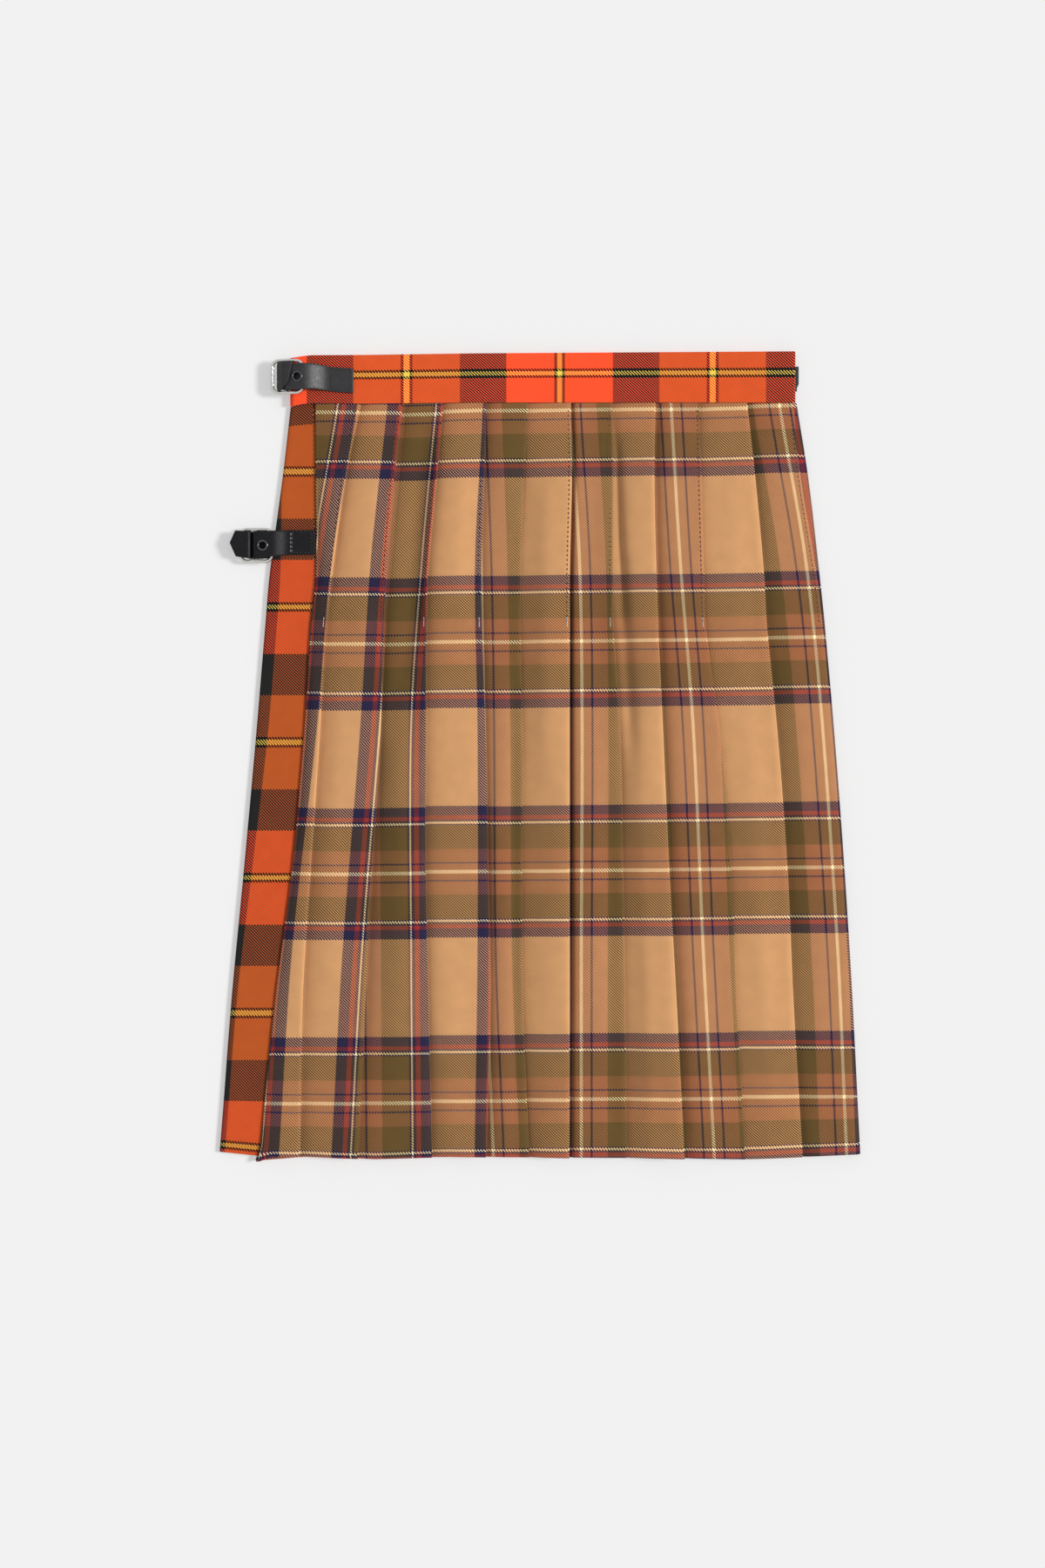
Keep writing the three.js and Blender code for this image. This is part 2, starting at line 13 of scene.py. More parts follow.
import bmesh
import bpy
import numpy as np
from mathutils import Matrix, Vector

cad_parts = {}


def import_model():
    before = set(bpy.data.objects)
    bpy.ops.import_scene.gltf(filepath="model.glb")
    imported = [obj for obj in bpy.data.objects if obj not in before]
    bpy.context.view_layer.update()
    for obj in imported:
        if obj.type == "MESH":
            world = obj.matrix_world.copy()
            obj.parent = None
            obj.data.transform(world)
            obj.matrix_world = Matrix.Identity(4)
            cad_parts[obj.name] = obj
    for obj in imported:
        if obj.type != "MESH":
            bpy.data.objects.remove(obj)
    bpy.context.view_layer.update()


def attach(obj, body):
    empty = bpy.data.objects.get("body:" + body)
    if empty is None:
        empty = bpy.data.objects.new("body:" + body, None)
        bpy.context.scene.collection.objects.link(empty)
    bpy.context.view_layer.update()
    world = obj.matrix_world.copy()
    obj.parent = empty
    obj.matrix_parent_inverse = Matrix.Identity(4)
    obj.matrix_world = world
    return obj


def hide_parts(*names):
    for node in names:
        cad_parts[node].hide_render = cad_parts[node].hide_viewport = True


LOG = logging.getLogger("kilt")

MM = 0.001
MIDDLE = (0.05, 0.6)

# Middle heights of the layers, from the surface up
PITCH = 1.3
FRONT_Z = 0.5
UNDER_Z = FRONT_Z + PITCH
BASE_Z = UNDER_Z + PITCH
FOLD_Z = BASE_Z + PITCH
FACE_Z = FOLD_Z + PITCH
BAND_FRONT_Z = 1.0
BAND_UNDER_Z = 3.3
BAND_BACK_Z = 5.6
GAP = 0.3

# Heights at which the fold lines are measured: waist, yoke, hip, release, thigh, mid, low, hem
HEIGHTS = (232.7, 185.8, 120.8, 87.1, 10.6, -78.2, -163.4, -266.6)
RELEASE_Y = HEIGHTS[3]
HEM_Y = HEIGHTS[-1]
LEFT = (-166.5, -171.7, -180.4, -183.3, -189.7, -197.8, -205.9, -213.7)
RIGHT = (171.1, 178.6, 186.2, 189.7, 196.4, 203.0, 208.2, 213.3)

# The waistband's lower seam and upper edge, and the hem, along x
BAND_X = (-166.5, -155.0, -117.0, -43.0, 170.3)
BAND_SEAM = (233.2, 235.2, 234.8, 235.6, 235.6)
BAND_TOP = (264.9, 267.0, 267.2, 268.3, 269.6)
HEM_X = (-213.7, -186.0, -150.0, -110.0, -60.0, 0.0, 70.0, 140.0, 213.3)
HEM_LINE = (-263.4, -266.4, -266.8, -268.2, -266.6, -267.0, -267.4, -268.4, -265.0)

# Where the rows of a cloth start to bend towards the waist seam above and the hem line below
SEAM_FIT_Y = 195.0
HEM_FIT_Y = -225.0
UNDER_BAND = 2.0
SLIT_ROUNDING = 0.6

Piece = bpy.types.Object
Finish = bpy.types.Material
Socket = bpy.types.NodeSocket
Tone = tuple[float, float, float]
Test = Callable[[Vector], bool]
WHITE = (1.0, 1.0, 1.0, 1.0)


class Slot(Enum):
    """Material slots of the record."""

    BROWN = "brown_tartan"
    ORANGE = "orange_tartan"
    LEATHER = "strap_leather"
    METAL = "buckle_metal"


def linear(tone: Tone) -> tuple[float, float, float, float]:
    """Turn a screen colour from 0 to 255 into a linear one.

    Args:
        tone: Red, green and blue as they look on a screen.

    Returns:
        Linear red, green and blue with full alpha.
    """
    parts = [c / 255 for c in tone]
    made = [c / 12.92 if c <= 0.04045 else ((c + 0.055) / 1.055) ** 2.4 for c in parts]
    return (made[0], made[1], made[2], 1.0)


def along(values: tuple[float, ...], y: np.ndarray) -> np.ndarray:
    """Smooth curve through values measured at HEIGHTS.

    Args:
        values: One value for each of HEIGHTS.
        y: Heights to work out, in millimetres.

    Returns:
        The curve's values at y.
    """
    return smooth(np.array(HEIGHTS), np.array(values), y)


def smooth(stations: np.ndarray, values: np.ndarray, at: np.ndarray) -> np.ndarray:
    """Cubic curve through a table, with the slope of its neighbours at each point.

    Args:
        stations: Where the values are, in falling order.
        values: The table's values.
        at: Where to work out the curve.

    Returns:
        The curve's values.
    """
    last = len(stations) - 1
    i = np.clip(np.searchsorted(-stations, -at, side="left") - 1, 0, last - 1)
    back, ahead = np.maximum(np.arange(last + 1) - 1, 0), np.minimum(np.arange(last + 1) + 1, last)
    slopes = (values[ahead] - values[back]) / (stations[ahead] - stations[back])
    span = stations[i + 1] - stations[i]
    s = (at - stations[i]) / span
    start = (1 + 2 * s) * (1 - s) ** 2 * values[i] + s * (1 - s) ** 2 * span * slopes[i]
    return start + s * s * (3 - 2 * s) * values[i + 1] + s * s * (s - 1) * span * slopes[i + 1]


def band_seam(x: np.ndarray) -> np.ndarray:
    """Height of the seam under the waistband at x."""
    return np.interp(x, BAND_X, BAND_SEAM)


def row_heights(rows: int) -> np.ndarray:
    """Even heights from just under the waistband to the hem."""
    return np.linspace(HEIGHTS[0] + UNDER_BAND, HEM_Y, rows)


def fit_ends(x: np.ndarray, y: np.ndarray) -> np.ndarray:
    """Bend a cloth's rows so that its ends follow the waist seam and the hem line.

    Args:
        x: Across the kilt, rows by stations.
        y: Heights of the rows, from the highest one down.

    Returns:
        The heights of all the points.
    """
    first, last = y[0, 0], y[-1, 0]
    top = np.clip((y - SEAM_FIT_Y) / (first - SEAM_FIT_Y), 0, 1)
    low = np.clip((HEM_FIT_Y - y) / (HEM_FIT_Y - last), 0, 1)
    return y + top * (band_seam(x) - GAP - first) + low * (np.interp(x, HEM_X, HEM_LINE) - last)


def place(x: np.ndarray, y: np.ndarray, z: np.ndarray) -> np.ndarray:
    """Stack millimetres of the tables into metres of the frame.

    Args:
        x: Across the kilt.
        y: Towards the waist.
        z: Up.

    Returns:
        An array of points, one row each.
    """
    points = np.stack([np.ravel(x) - MIDDLE[0], np.ravel(y) - MIDDLE[1], np.ravel(z)], axis=1)
    return points * MM


def spot(x: float, y: float, z: float) -> Vector:
    """One point of the tables, in metres of the frame."""
    return Vector(((x - MIDDLE[0]) * MM, (y - MIDDLE[1]) * MM, z * MM))


class Nodes:
    """Short ways to add shader nodes to one material."""

    def __init__(self, name: str) -> None:
        """Start a material with a Principled shader.

        Args:
            name: The material's name.
        """
        self.material = bpy.data.materials.new(name)
        self.material.use_nodes = True
        self.tree = self.material.node_tree
        self.shader = self.tree.nodes["Principled BSDF"]

    def add(self, kind: str, **settings: object) -> bpy.types.Node:
        """Add a node and set its properties.

        Args:
            kind: The node's type.
            **settings: Properties by name.

        Returns:
            The new node.
        """
        node = self.tree.nodes.new(kind)
        for key, value in settings.items():
            setattr(node, key, value)
        return node

    def plug(self, socket: Socket, value: object) -> None:
        """Link a socket to another one, or set its value.

        Args:
            socket: The input.
            value: An output socket, or a constant.
        """
        if isinstance(value, Socket):
            self.tree.links.new(value, socket)
        else:
            socket.default_value = value

    def fix(self, settings: dict[str, object]) -> None:
        """Set the shader's inputs that are the same all over."""
        for name, value in settings.items():
            self.shader.inputs[name].default_value = value

    def math(self, operation: str, *values: object) -> Socket:
        """Add a Math node.

        Args:
            operation: Its operation.
            *values: Its inputs, sockets or numbers.

        Returns:
            Its output.
        """
        node = self.add("ShaderNodeMath", operation=operation)
        for socket, value in zip(node.inputs, values):
            self.plug(socket, value)
        return node.outputs[0]

    def mix(self, factor: object, first: object, second: object, blend: str = "MIX") -> Socket:
        """Mix two colours.

        Args:
            factor: How much of the second.
            first: A colour or socket.
            second: A colour or socket.
            blend: The blending mode.

        Returns:
            The mixed colour.
        """
        node = self.add("ShaderNodeMix", data_type="RGBA", blend_type=blend)
        for index, value in ((0, factor), (6, first), (7, second)):
            self.plug(node.inputs[index], value)
        return node.outputs[2]

    def noise(self, vector: Socket, scale: float, detail: float = 2.0) -> Socket:
        """Noise from 0 to 1 on a vector.

        Args:
            vector: Its coordinates.
            scale: Repeats in each unit of the coordinates.
            detail: Octaves.

        Returns:
            The noise value.
        """
        node = self.add("ShaderNodeTexNoise")
        self.plug(node.inputs["Vector"], vector)
        node.inputs["Scale"].default_value = scale
        node.inputs["Detail"].default_value = detail
        return node.outputs["Fac"]

    def bump(self, height: Socket, distance: float, strength: float = 1.0) -> None:
        """Raise the surface by a height.

        Args:
            height: Height from 0 to 1.
            distance: How far 1 stands out, in metres.
            strength: Share of the effect.
        """
        node = self.add("ShaderNodeBump")
        node.inputs["Distance"].default_value = distance
        node.inputs["Strength"].default_value = strength
        self.plug(node.inputs["Height"], height)
        self.plug(self.shader.inputs["Normal"], node.outputs[0])

    def object_point(self) -> Socket:
        """Object coordinates, in metres."""
        return self.add("ShaderNodeTexCoord").outputs["Object"]

    def cloth_point(self) -> tuple[Socket, Socket, Socket]:
        """Place on the cloth, from the piece's own UV map.

        Returns:
            The whole vector, then across and along, in metres of cloth.
        """
        node = self.add("ShaderNodeUVMap", uv_map="cloth")
        parts = self.add("ShaderNodeSeparateXYZ")
        self.plug(parts.inputs[0], node.outputs[0])
        return node.outputs[0], parts.outputs[0], parts.outputs[1]


@dataclass(frozen=True)
class Sett:
    """Threads of one direction, from one mirror line of the pattern to the next."""

    stripes: tuple[tuple[float, Tone], ...]
    scale: float = 1.0

    @property
    def half(self) -> float:
        """Half of the repeat, in millimetres."""
        return sum(width for width, _ in self.stripes) * self.scale

    def colour(self, nodes: Nodes, coordinate: Socket, shade_gain: float) -> Socket:
        """Colour of the thread at a place.

        Args:
            nodes: The material being made.
            coordinate: Place across the threads, in metres from a mirror line.
            shade_gain: Factor on the colours' brightness, which paints shade where it is below 1.

        Returns:
            The thread's colour.
        """
        folded = nodes.math("PINGPONG", coordinate, self.half * MM)
        share = nodes.math("DIVIDE", folded, self.half * MM)
        ramp = nodes.add("ShaderNodeValToRGB")
        ramp.color_ramp.interpolation = "CONSTANT"
        stops = ramp.color_ramp.elements
        while len(stops) < len(self.stripes):
            stops.new(1.0)
        reached = 0.0
        for stop, (width, tone) in zip(stops, self.stripes):
            stop.position = reached / self.half
            stop.color = tuple(c * shade_gain for c in linear(tone)[:3]) + (1.0,)
            reached += width * self.scale
        nodes.plug(ramp.inputs[0], share)
        return ramp.outputs[0]


@dataclass(frozen=True)
class Tartan:
    """Twill cloth with one sett of threads across and one along.

    across_from and along_from, where the setts' mirror lines lie, and twill, the distance from rib to rib each
    way, are in millimetres. serration, how far a stripe's edge steps with the ribs, drift, how far it wanders,
    and relief are in metres. Scales are repeats in a metre. valley_shade_share is the part of a rib's turn
    that lies deep between two ribs, where the darker thread's colour is painted as shade, and rib_light how
    the painted light grows over a rib, from its valley's painted shade.
    """

    name: str
    across: Sett
    along: Sett
    across_from: float = 0.0
    along_from: float = 0.0
    twill: tuple[float, float] = (1.9, 1.8)
    shade_gain: float = 1.0
    valley_shade_share: float = 0.1
    serration: float = 0.0012
    drift: float = 0.0003
    drift_scale: float = 260.0
    fade: float = 0.22
    fade_scale: float = 90.0
    rib_light: tuple[float, float] = (0.9, 0.89)
    rib_height: float = 4.0
    fibre_scale: float = 1400.0
    relief: float = 0.00005
    roughness: float = 0.85
    gloss: float = 0.08
    sheen: float = 0.12
    sheen_roughness: float = 0.5

    def wander(self, nodes: Nodes, point: Socket, turns: Socket) -> Socket:
        """How far the stripes' edges are off their lines, as they step with the ribs and drift.

        Args:
            nodes: The material being made.
            point: Place on the cloth.
            turns: Ribs counted across the twill.

        Returns:
            The distance, in metres.
        """
        zigzag = nodes.math("PINGPONG", turns, 0.5)
        steps = nodes.math("MULTIPLY_ADD", zigzag, self.serration, -self.serration / 4)
        drift = nodes.math("MULTIPLY_ADD", nodes.noise(point, self.drift_scale), self.drift, -self.drift / 2)
        return nodes.math("ADD", steps, drift)

    def material(self) -> Finish:
        """Make the cloth's material.

        Returns:
            The material, which reads the piece's own map in metres of cloth.
        """
        nodes = Nodes(self.name)
        point, u, v = nodes.cloth_point()
        turns = nodes.math("ADD", nodes.math("DIVIDE", u, self.twill[0] * MM),
                           nodes.math("DIVIDE", v, self.twill[1] * MM))
        off = self.wander(nodes, point, turns)
        threads = []
        for sett, way, start in ((self.across, u, self.across_from), (self.along, v, self.along_from)):
            here = nodes.math("SUBTRACT", nodes.math("ADD", way, off), start * MM)
            threads.append(sett.colour(nodes, here, self.shade_gain))
        rib = nodes.math("PINGPONG", turns, 0.25)
        over = nodes.math("GREATER_THAN", nodes.math("FRACT", turns), 0.5)
        # between marks the valleys between ribs, where the darker of the two threads' colours is painted as
        # shade
        between = nodes.math("LESS_THAN", rib, self.valley_shade_share)
        woven = nodes.mix(between, nodes.mix(over, *threads), nodes.mix(1.0, *threads, "DARKEN"))
        # tone is the random fade times the painted light and shade of the ribs, lighter on each crest and
        # darker in its valley; grey carries it into the base colour
        fading = nodes.noise(point, self.fade_scale, 4.0)
        fade = nodes.math("MULTIPLY_ADD", fading, self.fade, 1 - self.fade / 2)
        tone = nodes.math("MULTIPLY", fade, nodes.math("MULTIPLY_ADD", rib, *self.rib_light))
        grey = nodes.add("ShaderNodeCombineColor")
        for socket in grey.inputs:
            nodes.plug(socket, tone)
        nodes.plug(nodes.shader.inputs["Base Color"], nodes.mix(1.0, woven, grey.outputs[0], "MULTIPLY"))
        nodes.fix({"Roughness": self.roughness, "Specular IOR Level": self.gloss,
                   "Sheen Weight": self.sheen, "Sheen Roughness": self.sheen_roughness})
        ribs = nodes.math("MULTIPLY", rib, self.rib_height)
        nodes.bump(nodes.math("ADD", ribs, nodes.noise(point, self.fibre_scale)), self.relief)
        return nodes.material


@dataclass(frozen=True)
class Leather:
    """Smooth dyed leather with a fine grain and light scuffs. Scales are repeats in a metre."""

    name: str = "strap_leather"
    tone: Tone = (34, 34, 36)
    worn: Tone = (58, 59, 61)
    roughness: float = 0.42
    gloss: float = 0.35
    scuff_scale: float = 240.0
    scuff_power: float = 3.0
    polish_scale: float = 500.0
    polish: float = 0.3
    cell_scale: float = 1500.0
    cell_edge: float = 0.12
    pore_scale: float = 900.0
    relief: float = 0.00006

    def material(self) -> Finish:
        """Make the leather's material."""
        nodes = Nodes(self.name)
        point = nodes.object_point()
        scuff = nodes.math("POWER", nodes.noise(point, self.scuff_scale, 6.0), self.scuff_power)
        dye = nodes.mix(scuff, linear(self.tone), linear(self.worn))
        nodes.plug(nodes.shader.inputs["Base Color"], dye)
        patches = nodes.noise(point, self.polish_scale)
        rough = nodes.math("MULTIPLY_ADD", patches, self.polish, self.roughness - self.polish / 2)
        nodes.plug(nodes.shader.inputs["Roughness"], rough)
        nodes.fix({"Specular IOR Level": self.gloss})
        cells = nodes.add("ShaderNodeTexVoronoi", feature="DISTANCE_TO_EDGE")
        cells.inputs["Scale"].default_value = self.cell_scale
        nodes.plug(cells.inputs["Vector"], point)
        edges = nodes.math("MINIMUM", cells.outputs["Distance"], self.cell_edge)
        nodes.bump(nodes.math("ADD", edges, nodes.noise(point, self.pore_scale)), self.relief, 0.6)
        return nodes.material


@dataclass(frozen=True)
class Metal:
    """Plated metal with faint brushing and handling marks. Scales are repeats in a metre."""

    name: str
    tone: Tone = (228, 225, 220)
    roughness: float = 0.09
    dull: float = 0.8
    mark_scale: float = 420.0
    marks: tuple[float, float] = (0.16, -0.05)
    brush_scale: float = 1600.0
    relief: float = 0.00001

    def material(self) -> Finish:
        """Make the metal's material."""
        nodes = Nodes(self.name)
        point = nodes.object_point()
        spots = nodes.noise(point, self.mark_scale, 5.0)
        dark = tuple(c * self.dull for c in self.tone)
        nodes.plug(nodes.shader.inputs["Base Color"], nodes.mix(spots, linear(self.tone), linear(dark)))
        rough = nodes.math("MULTIPLY_ADD", spots, self.marks[0], self.roughness + self.marks[1])
        nodes.plug(nodes.shader.inputs["Roughness"], rough)
        nodes.fix({"Metallic": 1.0})
        nodes.bump(nodes.noise(point, self.brush_scale), self.relief, 0.5)
        return nodes.material


@dataclass(frozen=True)
class Thread:
    """Twisted sewing thread. Scales are repeats in a metre."""

    name: str
    tone: Tone
    shaded: float = 0.7
    ply_scale: float = 2600.0
    fibre_scale: float = 5000.0
    relief: float = 0.00003
    roughness: float = 0.7

    def material(self) -> Finish:
        """Make the thread's material."""
        nodes = Nodes(self.name)
        point = nodes.object_point()
        shade = tuple(c * self.shaded for c in self.tone)
        ply = nodes.mix(nodes.noise(point, self.ply_scale), linear(self.tone), linear(shade))
        nodes.plug(nodes.shader.inputs["Base Color"], ply)
        nodes.fix({"Roughness": self.roughness})
        nodes.bump(nodes.noise(point, self.fibre_scale), self.relief)
        return nodes.material


@dataclass(frozen=True)
class Paper:
    """Matt pale surface, lit from within a little, so that shadows on it stay light."""

    name: str = "pale_floor"
    tone: Tone = (178, 178, 178)
    glow: float = 0.395
    roughness: float = 0.95

    def material(self) -> Finish:
        """Make the paper's material."""
        nodes = Nodes(self.name)
        nodes.fix({"Base Color": linear(self.tone), "Emission Color": WHITE, "Emission Strength": self.glow,
                   "Roughness": self.roughness, "Specular IOR Level": 0.0})
        return nodes.material


TAN: Tone = (206, 153, 104)
NAVY: Tone = (38, 34, 63)
RED: Tone = (150, 45, 45)
CREAM: Tone = (250, 230, 180)
OLIVE: Tone = (93, 72, 37)
RUST: Tone = (150, 92, 58)
PALE_OLIVE: Tone = (104, 81, 44)
PALE_RUST: Tone = (166, 110, 75)

BROWN_WEFT = Sett((
    (0.9, CREAM), (4.4, RUST), (1.1, NAVY), (8.7, RUST), (15.8, OLIVE), (0.8, NAVY),
    (1.7, CREAM), (1.3, NAVY), (2.7, RED), (6.4, NAVY), (32.75, TAN),
))
BROWN_WARP = Sett((
    (0.6, CREAM), (4.7, PALE_RUST), (1.1, NAVY), (8.7, PALE_RUST), (15.8, PALE_OLIVE), (1.1, NAVY),
    (1.1, CREAM), (1.6, NAVY), (2.7, RED), (6.4, NAVY), (32.75, TAN),
), 1.15)

EMBER: Tone = (255, 82, 44)
AMBER: Tone = (190, 88, 36)
DARK: Tone = (34, 33, 32)
YELLOW: Tone = (240, 206, 84)
SOOT: Tone = (12, 10, 10)

ORANGE_WEFT = Sett((
    (1.5, YELLOW), (1.8, SOOT), (28.0, AMBER), (27.5, DARK), (28.1, EMBER), (1.8, SOOT), (1.5, YELLOW),
))
ORANGE_WARP = Sett(ORANGE_WEFT.stripes, 1.13)


class Section:
    """Middle line of a sheet across the kilt, station by station, for all its rows at once."""

    def __init__(self, rows: int) -> None:
        """Start an empty line.

        Args:
            rows: How many rows the sheet has.
        """
        self.rows = rows
        self.x: list[np.ndarray] = []
        self.z: list[np.ndarray] = []
        self.u: list[np.ndarray] = []

    def put(self, x: np.ndarray | float, z: np.ndarray | float, u: np.ndarray | float) -> None:
        """Add a station whose place on the cloth is known."""
        for store, value in ((self.x, x), (self.z, z), (self.u, u)):
            store.append(np.broadcast_to(np.asarray(value, float), (self.rows,)).copy())

    def follow(self, x: np.ndarray | float, z: np.ndarray | float) -> None:
        """Add a station whose place on the cloth follows from the distance to the last one."""
        here = np.broadcast_to(np.asarray(x, float), (self.rows,))
        up = np.broadcast_to(np.asarray(z, float), (self.rows,))
        self.put(here, up, self.u[-1] + np.hypot(here - self.x[-1], up - self.z[-1]))

    def run(self, end: np.ndarray | float, steps: int) -> None:
        """Go level to another x, in equal steps."""
        start, level = self.x[-1], self.z[-1]
        for k in range(1, steps + 1):
            self.follow(start + (end - start) * k / steps, level)

    def turn(self, centre: tuple, radius: tuple, angles: tuple[float, float], steps: int) -> None:
        """Follow part of an ellipse, without its start.

        Args:
            centre: Its middle, x and z.
            radius: Its half axes, x and z.
            angles: First and last angle, in degrees.
            steps: How many stations.
        """
        for k in range(1, steps + 1):
            a = math.radians(angles[0] + (angles[1] - angles[0]) * k / steps)
            self.follow(centre[0] + radius[0] * math.cos(a), centre[1] + radius[1] * math.sin(a))

    def arrays(self) -> tuple[np.ndarray, np.ndarray, np.ndarray]:
        """The stations as arrays of rows by stations."""
        return np.stack(self.x, 1), np.stack(self.z, 1), np.stack(self.u, 1)


@dataclass
class Grid:
    """A sheet's middle surface, rows by stations, and its place on the flat cloth."""

    x: np.ndarray
    y: np.ndarray
    z: np.ndarray
    u: np.ndarray
    v: np.ndarray

    def cut(self) -> tuple[float, float, float]:
        """Flat width, length and area of the sheet, in metres.

        Returns:
            The longest row, the longest station line, and the whole area.
        """
        points = place(self.x, self.y, self.z).reshape(*self.x.shape, 3)
        across = np.linalg.norm(np.diff(points, axis=1), axis=2)
        down = np.linalg.norm(np.diff(points, axis=0), axis=2)
        width, length = across.sum(1).max(), down.sum(0).max()
        area = (0.5 * (across[1:] + across[:-1]) * 0.5 * (down[:, 1:] + down[:, :-1])).sum()
        return float(width), float(length), float(area)

    def piece(self, name: str, thickness: float, finish: Finish) -> Piece:
        """Make the sheet's mesh with its thickness.

        Args:
            name: The piece's name.
            thickness: Of the cloth, in millimetres.
            finish: Its material.

        Returns:
            The finished piece.
        """
        rows, count = self.x.shape
        index = np.arange(rows * count).reshape(rows, count)
        corners = [index[:-1, :-1], index[:-1, 1:], index[1:, 1:], index[1:, :-1]]
        quads = np.stack(corners, axis=-1).reshape(-1, 4)
        mesh = bpy.data.meshes.new(name)
        mesh.from_pydata(place(self.x, self.y, self.z).tolist(), [], quads.tolist())
        layer = mesh.uv_layers.new(name="cloth")
        flat = np.stack([np.ravel(self.u), np.ravel(self.v)], 1) * MM
        layer.data.foreach_set("uv", flat[quads.ravel()].astype(np.float32).ravel())
        mesh.materials.append(finish)
        piece = bpy.data.objects.new(name, mesh)
        bpy.context.scene.collection.objects.link(piece)
        Bench.thicken(piece, thickness)
        Bench.soften(piece, 50)
        return piece

    def declare(self, piece: Piece, support: str) -> None:
        """Say how a piece's cloth was cut."""
        width, length, area = self.cut()
        LOG.info("%s cut: %.3f by %.3f m", piece.name, width, length)


class Bench:
    """The steps that every modelled piece goes through."""

    @staticmethod
    def clear() -> None:
        """Deselect everything."""
        if bpy.context.mode != "OBJECT":
            bpy.ops.object.mode_set(mode="OBJECT")
        bpy.ops.object.select_all(action="DESELECT")

    @staticmethod
    def pick(piece: Piece) -> None:
        """Make one piece the only selected one."""
        Bench.clear()
        piece.select_set(True)
        bpy.context.view_layer.objects.active = piece

    @staticmethod
    def modify(piece: Piece, kind: str, **settings: object) -> None:
        """Add a modifier and apply it.

        Args:
            piece: The piece.
            kind: The modifier's type.
            **settings: Its properties by name.
        """
        Bench.pick(piece)
        modifier = piece.modifiers.new(kind.lower(), kind)
        for key, value in settings.items():
            setattr(modifier, key, value)
        bpy.ops.object.modifier_apply(modifier=modifier.name)

    @staticmethod
    def thicken(piece: Piece, thickness: float) -> None:
        """Give a sheet its thickness in millimetres, half of it to each side."""
        Bench.modify(piece, "SOLIDIFY", thickness=thickness * MM, offset=0.0, use_even_offset=True)

    @staticmethod
    def round_edges(piece: Piece, width: float, segments: int) -> None:
        """Round a piece's sharp edges, by a width in millimetres."""
        Bench.modify(piece, "BEVEL", width=width * MM, segments=segments, limit_method="ANGLE",
                     angle_limit=math.radians(60))

    @staticmethod
    def soften(piece: Piece, degrees: float) -> None:
        """Shade smoothly across edges flatter than an angle."""
        Bench.pick(piece)
        bpy.ops.object.shade_smooth_by_angle(angle=math.radians(degrees))

    @staticmethod
    def edit(piece: Piece) -> None:
        """Open one piece in edit mode."""
        Bench.pick(piece)
        bpy.ops.object.mode_set(mode="EDIT")

    @staticmethod
    def leave() -> None:
        """Leave edit mode."""
        bpy.ops.object.mode_set(mode="OBJECT")

    @staticmethod
    def face_out() -> None:
        """Turn every face of the open piece outwards, and leave edit mode."""
        bpy.ops.mesh.select_all(action="SELECT")
        bpy.ops.mesh.normals_make_consistent(inside=False)
        Bench.leave()

    @staticmethod
    def choose(piece: Piece, test: Test) -> None:
        """Select the vertices that pass a test, in edit mode.

        Args:
            piece: The piece in edit mode.
            test: Function of a vertex's place that gives True or False.
        """
        bpy.ops.mesh.select_mode(type="VERT")
        bpy.ops.mesh.select_all(action="DESELECT")
        work = bmesh.from_edit_mesh(piece.data)
        for vertex in work.verts:
            if test(vertex.co):
                vertex.select = True
        work.select_flush(True)
        bmesh.update_edit_mesh(piece.data)

    @staticmethod
    def settle(piece: Piece) -> None:
        """Leave edit mode and put the piece's place into its mesh."""
        Bench.pick(piece)
        bpy.ops.object.transform_apply(location=True, rotation=True, scale=True)

    @staticmethod
    def started(name: str) -> Piece:
        """Name the primitive that was just added, and put its place into its mesh."""
        piece = bpy.context.active_object
        piece.name = piece.data.name = name
        Bench.settle(piece)
        return piece

    @staticmethod
    def join(piece: Piece, other: Piece) -> None:
        """Unite a second solid with a piece, and remove it."""
        Bench.modify(piece, "BOOLEAN", operation="UNION", solver="EXACT", object=other)
        bpy.data.objects.remove(other, do_unlink=True)

    @staticmethod
    def cut(piece: Piece, tool: Piece) -> None:
        """Cut a solid out of a piece, and remove it."""
        Bench.modify(piece, "BOOLEAN", operation="DIFFERENCE", solver="EXACT", object=tool)
        bpy.data.objects.remove(tool, do_unlink=True)

    @staticmethod
    def slit(piece: Piece, middle: tuple[float, float, float], reach: tuple[float, float, float]) -> None:
        """Cut a straight slit with rounded corners.

        Args:
            piece: The cloth.
            middle: Middle of the slit, in the tables' millimetres.
            reach: Half its size each way.
        """
        Bench.clear()
        size = tuple(2 * r * MM for r in reach)
        bpy.ops.mesh.primitive_cube_add(size=1.0, scale=size, location=spot(*middle))
        tool = Bench.started("slit_tool")
        Bench.modify(tool, "BEVEL", width=min(reach) * SLIT_ROUNDING * MM, segments=2)
        Bench.cut(piece, tool)

    @staticmethod
    def dress(piece: Piece, finish: Finish) -> None:
        """Give a piece its only material."""
        piece.data.materials.clear()
        piece.data.materials.append(finish)


def register(piece: Piece, slot: Slot, *nodes: str) -> Piece:
    """Let a piece ride on the kilt and stand for its nodes.

    Args:
        piece: The finished piece.
        slot: The record's material slot; not used.
        *nodes: CAD nodes that it replaces.

    Returns:
        The piece.
    """
    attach(piece, "root")
    if nodes:
        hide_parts(*nodes)
    LOG.info("%s: %d faces, for %s", piece.name, len(piece.data.polygons), ", ".join(nodes) or "no node")
    return piece


# How a free edge grows from the flat face: pressed at the waist, and later across the face below LATE_BELOW_Y
PRESSED_LIFT = 0.2
EARLY_BEND = 1.5
LATE_BEND = 1.6
LATE_BLEND = 0.2
LATE_BELOW_Y = -10.0


